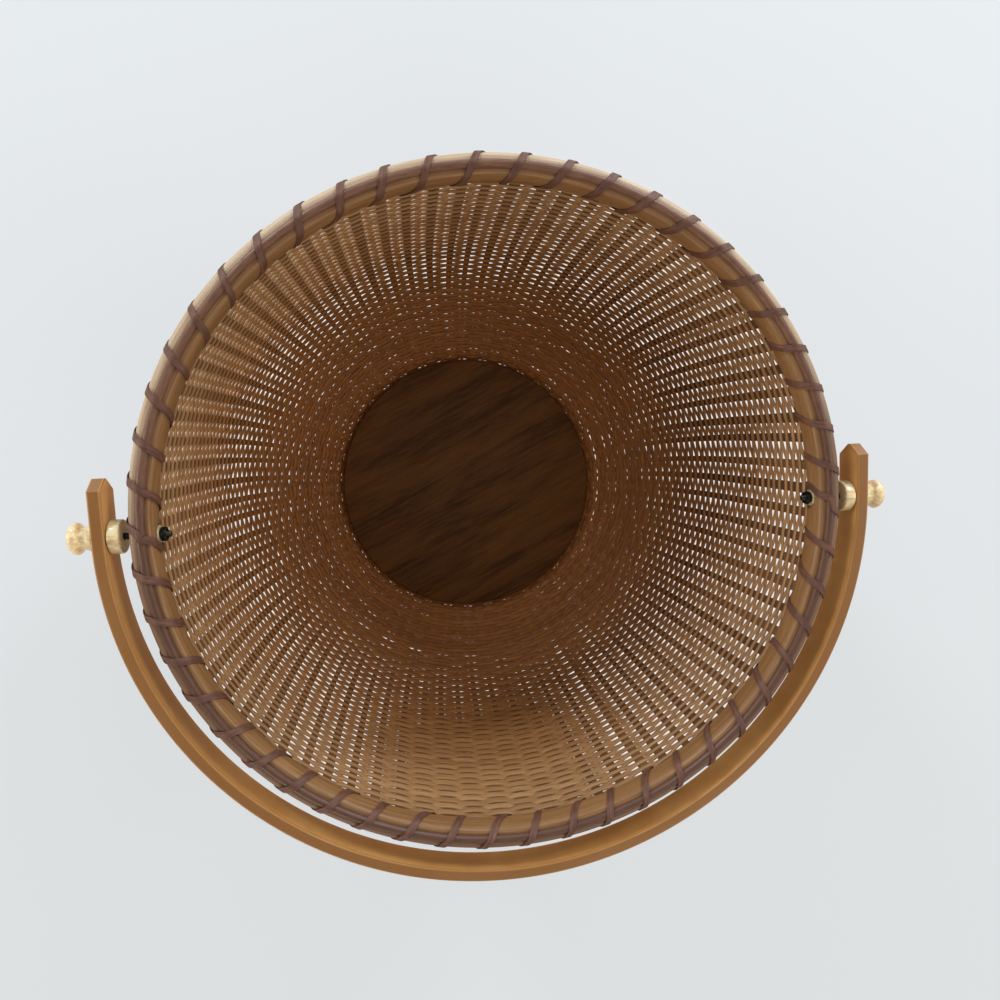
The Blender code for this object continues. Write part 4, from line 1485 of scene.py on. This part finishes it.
@dataclass
class Pivot:
    """Bolt, nut, washer, spacer and knob of one pivot.

    Attributes:
        side: which pivot it is.
        height: height of the pivot.
        segments: steps round each piece.
        thread_pitch: pitch of the bolt's thread.
        thread_depth: depth of the bolt's thread.
        thread_length: length of the thread at the nut's end.
        thread_steps: points along one pitch of the thread.
        shank_rows: points along the plain part of the bolt.
        tip_share: radius of the bolt's flat end, as a share of the bolt's.
        bore: radius of the holes round the bolt.
        bore_depth: depth of the knob's bore.
        neck_share: place of the knob's neck along it.
        belly_share: place of the knob's widest point along it.
        neck_radius: radius of the knob's neck.
        foot_radius: radius of the knob's foot.
        cove_steps: points along the knob's cove.
        rise_steps: points from the neck to the belly.
        dome_steps: points over the knob's dome.
        corner_share: radius to which the nut's corners are cut back at its ends, over the radius of its flats.
        ease: radius of the eased edges.
        ease_steps: points round an eased edge.
    """

    side: Side
    height: float
    segments: int = 48
    thread_pitch: float = 0.0005
    thread_depth: float = 0.00016
    thread_length: float = 0.0045
    thread_steps: int = 6
    shank_rows: int = 12
    tip_share: float = 0.7
    bore: float = 0.00155
    bore_depth: float = 0.0055
    neck_share: float = 0.38
    belly_share: float = 0.64
    neck_radius: float = 0.0041
    foot_radius: float = 0.0052
    cove_steps: int = 9
    rise_steps: int = 8
    dome_steps: int = 10
    corner_share: float = 1.02
    ease: float = 0.0006
    ease_steps: int = 5

    def span(self, node: str) -> tuple[float, float, float]:
        """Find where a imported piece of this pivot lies.

        Args:
            node: its name without the side.

        Returns:
            Its inner end, its outer end and its radius, measured on the right-hand side.
        """
        low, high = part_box(f"{node}_{self.side.name.lower()}")
        near, far = sorted((abs(low.x), abs(high.x)))
        return near, far, high.z - self.height

    def add(self, name: str, node: str, grid: np.ndarray, finish: BoneFinish | MetalFinish,
            material: bpy.types.Material, poles: bool) -> None:
        """Place one turned piece at this pivot and dress it.

        Args:
            name: the piece's name without the side.
            node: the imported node's name without the side.
            grid: points turned about Z, with Z as the distance from the basket's middle.
            finish: the piece's finish.
            material: the finish's material.
            poles: whether the outline ends on the axis.
        """
        label = self.side.name.lower()
        item = piece(f"{name}_{label}", along_x(grid, self.height, self.side), ring=True)
        if poles:
            close_poles(item)
        settle(item, finish, material, Body.BASKET, f"{node}_{label}")

    def bolt(self) -> np.ndarray:
        """Threaded bolt: radius R - d (1 + cos(turns)) / 2 along the thread, as a helix, and plain R after it.

        Returns:
            Its grid.
        """
        near, far, radius = self.span("pivot_bolt")
        step = self.thread_pitch / self.thread_steps
        stations = np.concatenate([np.arange(near + self.ease / 2, near + self.thread_length, step),
                                   np.linspace(near + self.thread_length, far, self.shank_rows)])
        turn = np.arange(self.segments)[:, None] / self.segments
        cut = self.thread_depth * (1 + np.cos(math.tau * ((stations - near) / self.thread_pitch - turn))) / 2
        cut = cut * (stations < near + self.thread_length)
        shape = np.stack(np.broadcast_arrays(radius - cut, stations), axis=-1)
        start = np.broadcast_to(np.array([(0.0, near), (radius * self.tip_share, near)]), (self.segments, 2, 2))
        stop = np.broadcast_to(np.array([(0.0, far)]), (self.segments, 1, 2))
        return turned(np.concatenate([start, shape, stop], axis=1), self.segments)

    def ringed(self, outer: float, near: float, far: float, ease: float) -> np.ndarray:
        """Ring with a plain bore and outer edges eased by quarter circles.

        Args:
            outer: outer radius.
            near: inner end.
            far: outer end.
            ease: radius of the eased edges.

        Returns:
            Grid of points.
        """
        quarter = np.linspace(0, math.pi / 2, self.ease_steps)
        low = np.stack([outer - ease + ease * np.sin(quarter), near + ease - ease * np.cos(quarter)], axis=1)
        high = np.stack([outer - ease + ease * np.cos(quarter), far - ease + ease * np.sin(quarter)], axis=1)
        return turned(np.vstack([[(self.bore, near)], low, high, [(self.bore, far)]]), self.segments)

    def nut(self) -> np.ndarray:
        """Hexagonal nut: radius apothem / cos(angle from the nearest flat), its corners cut back at both ends.

        Returns:
            Its grid.
        """
        near, far, corner = self.span("pivot_nut")
        apothem = corner * math.cos(math.pi / 6)
        angle = math.tau * np.arange(self.segments) / self.segments
        hexagon = apothem / np.cos((angle + math.pi / 6) % (math.pi / 3) - math.pi / 6)
        chamfered = np.minimum(hexagon, apothem * self.corner_share)
        ease = self.ease / 2
        bore = np.full_like(hexagon, self.bore)
        radius = np.stack([bore, chamfered, hexagon, hexagon, chamfered, bore], axis=1)
        height = np.array([near, near, near + ease, far - ease, far, far])
        outline = np.stack([radius, np.broadcast_to(height, radius.shape)], axis=-1)
        return turned(outline, self.segments)

    def knob(self) -> np.ndarray:
        """Turned knob: a foot, a neck on a cosine cove, a belly and a dome that ends as an ellipse.

        Returns:
            Its grid.
        """
        near, far, belly_radius = self.span("bone_knob")
        length = far - near
        neck = self.neck_share * length
        belly = self.belly_share * length
        cove = np.linspace(0, neck, self.cove_steps)
        rise = np.linspace(neck, belly, self.rise_steps)[1:]
        dome = np.linspace(0, math.pi / 2, self.dome_steps)[1:]
        fall = (1 + np.cos(math.pi * cove / neck)) / 2
        climb = (1 - np.cos(math.pi * (rise - neck) / (belly - neck))) / 2
        radius = np.concatenate([
            [self.bore, self.foot_radius - self.ease / 2],
            self.neck_radius + (self.foot_radius - self.neck_radius) * fall,
            self.neck_radius + (belly_radius - self.neck_radius) * climb,
            belly_radius * np.cos(dome),
        ])
        place = np.concatenate([[0, 0], cove + self.ease / 4, rise, belly + (length - belly) * np.sin(dome)])
        outline = np.stack([radius, near + place], axis=1)
        outline[-1, 0] = 0.0
        bore_end = near + self.bore_depth
        hollow = np.array([(0.0, bore_end), (self.bore, bore_end)])
        return turned(np.vstack([hollow, outline]), self.segments)

    def build(self, bone: bpy.types.Material, black: bpy.types.Material, grey: bpy.types.Material) -> None:
        """Make and dress the five pieces.

        Args:
            bone: material of the knob and the spacer.
            black: material of the bolt and the nut.
            grey: material of the washer.
        """
        washer_near, washer_far, washer_radius = self.span("pivot_washer")
        spacer_near, spacer_far, spacer_radius = self.span("bone_spacer")
        thin = (washer_far - washer_near) / 4
        washer = self.ringed(washer_radius, washer_near, washer_far, thin)
        spacer = self.ringed(spacer_radius, spacer_near, spacer_far, self.ease)
        self.add("threaded_bolt", "pivot_bolt", self.bolt(), BLACK_STEEL, black, poles=True)
        self.add("flat_washer", "pivot_washer", washer, WASHER_STEEL, grey, poles=False)
        self.add("hexagon_nut", "pivot_nut", self.nut(), BLACK_STEEL, black, poles=False)
        self.add("spacer_ring", "bone_spacer", spacer, BONE, bone, poles=False)
        self.add("turned_knob", "bone_knob", self.knob(), BONE, bone, poles=True)


@dataclass(frozen=True)
class Lamp:
    """Square lamp that faces the basket.

    Attributes:
        name: the lamp's name.
        azimuth: where it stands about Z, in degrees from +X.
        elevation: how high it stands, in degrees.
        size: its width.
        level: its power in watts.
        colour: its colour.
    """

    name: str
    azimuth: float
    elevation: float
    size: float
    level: float
    colour: str


@dataclass
class Studio:
    """Pale floor and world, soft lamps and the photograph's camera.

    Attributes:
        floor_half: half the floor's width.
        floor_drop: distance of the floor below the base, so that the faces don't coincide.
        floor_colour: colour that the camera sees on the floor.
        floor_glow: how much of that colour the floor gives of itself.
        floor_dull: how much of the lamps' light it sends back, with their shadows.
        near_colour: the floor's colour round the basket: painted warm light, standing for light off the cane.
        near_glow: its own light there: painted light that keeps the weave's holes bright and covers most of the
            basket's shadow.
        near_dull: how much of the lamps' light it sends back there.
        near_middle: middle of the near part, under the rim as the camera sees it.
        near_radius: radius at which the near colour starts to fade, behind the rim.
        far_radius: radius at which the floor's own colour starts.
        world_colour: colour of the world.
        world_level: strength of the world's light on the object.
        lamps: the lamps, low all round, so that the wall brightens towards the rim.
        lamp_distance: distance of the lamps from the aim.
        aim: point that the lamps face.
        camera_place: place of the camera.
        camera_turn: turn of the camera.
        focal_length: lens, in mm on a 36 mm sensor.
    """

    floor_half: float = 3.0
    floor_drop: float = 0.0002
    floor_colour: str = "E3EAED"
    floor_glow: float = 0.58
    floor_dull: float = 0.24
    near_colour: str = "F8F3EC"
    near_glow: float = 0.85
    near_dull: float = 0.07
    near_middle: tuple[float, float, float] = (0.027, -0.021, 0.0)
    near_radius: float = 0.200
    far_radius: float = 0.213
    world_colour: str = "E9EBEE"
    world_level: float = 0.58
    lamps: tuple[Lamp, ...] = (
        Lamp("window", 125, 19, 0.25, 11.0, "F0F6FF"),
        Lamp("second_window", 50, 27, 0.25, 4.8, "F0F6FF"),
        Lamp("low_back", 60, 12, 0.6, 9.8, "F0F6FF"),
        Lamp("low_left", 180, 12, 0.6, 7.4, "FFF4E6"),
        Lamp("low_front", 240, 12, 0.6, 5.2, "FFEEDC"),
        Lamp("right", 0, 30, 0.6, 4.8, "FFF4E6"),
        Lamp("front", 300, 30, 0.6, 3.4, "FFF4E6"),
    )
    lamp_distance: float = 1.3
    aim: tuple[float, float, float] = (0.0, 0.0, 0.12)
    camera_place: tuple[float, float, float] = (-0.03878, 0.03559, 0.42889)
    camera_turn: tuple[float, float, float] = (math.radians(-5.867), math.radians(-7.978), math.radians(-2.256))
    focal_length: float = 26.165

    def floor_material(self) -> bpy.types.Material:
        """Build the floor's material: a dull surface that takes shadows, and a glow that is even past the near part,
        where painted warm light glows brighter round the basket.

        Returns:
            The material.
        """
        material, tree = empty_material("pale_paper_floor")
        place = add_node(tree, "TexCoord")
        away = add_node(tree, "VectorMath", {"operation": "DISTANCE", 1: self.near_middle},
                        {0: place.outputs["Object"]})
        # Painted light round the basket: the near part glows brighter and warmer and takes little of the lamps'
        # shadow.
        fade = add_node(tree, "MapRange", {"interpolation_type": "SMOOTHSTEP", "From Min": self.near_radius,
                                           "From Max": self.far_radius}, {"Value": away.outputs["Value"]})
        colour = add_node(tree, "Mix", {"data_type": "RGBA", MIX_FIRST: linear(self.near_colour),
                                        MIX_SECOND: linear(self.floor_colour)}, {0: fade.outputs["Result"]})
        share = add_node(tree, "MapRange", {"To Min": self.near_glow, "To Max": self.floor_glow},
                         {"Value": fade.outputs["Result"]})
        light = add_node(tree, "Emission",
                         links={"Color": colour.outputs[MIX_RESULT], "Strength": share.outputs["Result"]})
        rest = add_node(tree, "MapRange", {"To Min": self.near_dull, "To Max": self.floor_dull},
                        {"Value": fade.outputs["Result"]})
        dull = add_node(tree, "BsdfDiffuse", links={"Color": rest.outputs["Result"]})
        both = add_node(tree, "AddShader", links={0: light.outputs["Emission"], 1: dull.outputs["BSDF"]})
        add_node(tree, "OutputMaterial", links={"Surface": both.outputs["Shader"]})
        return material

    def floor(self) -> None:
        """Make the floor."""
        half = self.floor_half
        corners = [(-half, -half, -self.floor_drop), (half, -half, -self.floor_drop),
                   (half, half, -self.floor_drop), (-half, half, -self.floor_drop)]
        mesh = bpy.data.meshes.new("floor")
        mesh.from_pydata(corners, [], [(0, 1, 2, 3)])
        item = bpy.data.objects.new("floor", mesh)
        bpy.context.scene.collection.objects.link(item)
        mesh.materials.append(self.floor_material())

    def world(self) -> None:
        """Make the world: an even pale light, seen by the camera as a plain pale backdrop."""
        world = bpy.data.worlds.new("studio")
        bpy.context.scene.world = world
        world.use_nodes = True
        tree = world.node_tree
        tree.nodes.clear()
        rays = add_node(tree, "LightPath")
        level = add_node(tree, "MapRange", {"To Min": self.world_level, "To Max": 1.0},
                         {"Value": rays.outputs["Is Camera Ray"]})
        back = add_node(tree, "Background", {"Color": linear(self.world_colour)},
                        {"Strength": level.outputs["Result"]})
        add_node(tree, "OutputWorld", links={"Surface": back.outputs["Background"]})

    def hang(self, lamp: Lamp) -> None:
        """Add a lamp and turn it to the basket.

        Args:
            lamp: the lamp's name, place, size, level and colour.
        """
        data = bpy.data.lights.new(lamp.name, "AREA")
        data.size = lamp.size
        data.energy = lamp.level
        data.color = linear(lamp.colour)[:3]
        item = bpy.data.objects.new(lamp.name, data)
        azimuth, elevation = math.radians(lamp.azimuth), math.radians(lamp.elevation)
        way = Vector((math.cos(elevation) * math.cos(azimuth), math.cos(elevation) * math.sin(azimuth),
                         math.sin(elevation)))
        item.location = Vector(self.aim) + self.lamp_distance * way
        item.rotation_euler = way.to_track_quat("Z", "Y").to_euler()
        bpy.context.scene.collection.objects.link(item)

    def camera(self) -> None:
        """Add the photograph's camera."""
        data = bpy.data.cameras.new("camera")
        data.lens = self.focal_length
        item = bpy.data.objects.new("camera", data)
        item.location = self.camera_place
        item.rotation_euler = self.camera_turn
        bpy.context.scene.collection.objects.link(item)
        bpy.context.scene.camera = item

    def build(self) -> None:
        """Set up the studio."""
        self.floor()
        self.world()
        for lamp in self.lamps:
            self.hang(lamp)
        self.camera()
        bpy.context.scene.view_settings.view_transform = "Standard"


def main() -> None:
    """Build the studio and every sub-assembly."""
    logging.basicConfig(level=logging.INFO, format="%(name)s: %(message)s")
    layout = Layout.read()
    Studio().build()
    Base().build(layout)
    wall = Wall(WallProfile(layout))
    wall.build()
    Rim(layout).build(wall)
    Handle().build(layout)
    bone, black, grey = BONE.material(), BLACK_STEEL.material(), WASHER_STEEL.material()
    for side in Side:
        Pivot(side, layout.pivot_height).build(bone, black, grey)


if __name__ == "__main__":
    main()
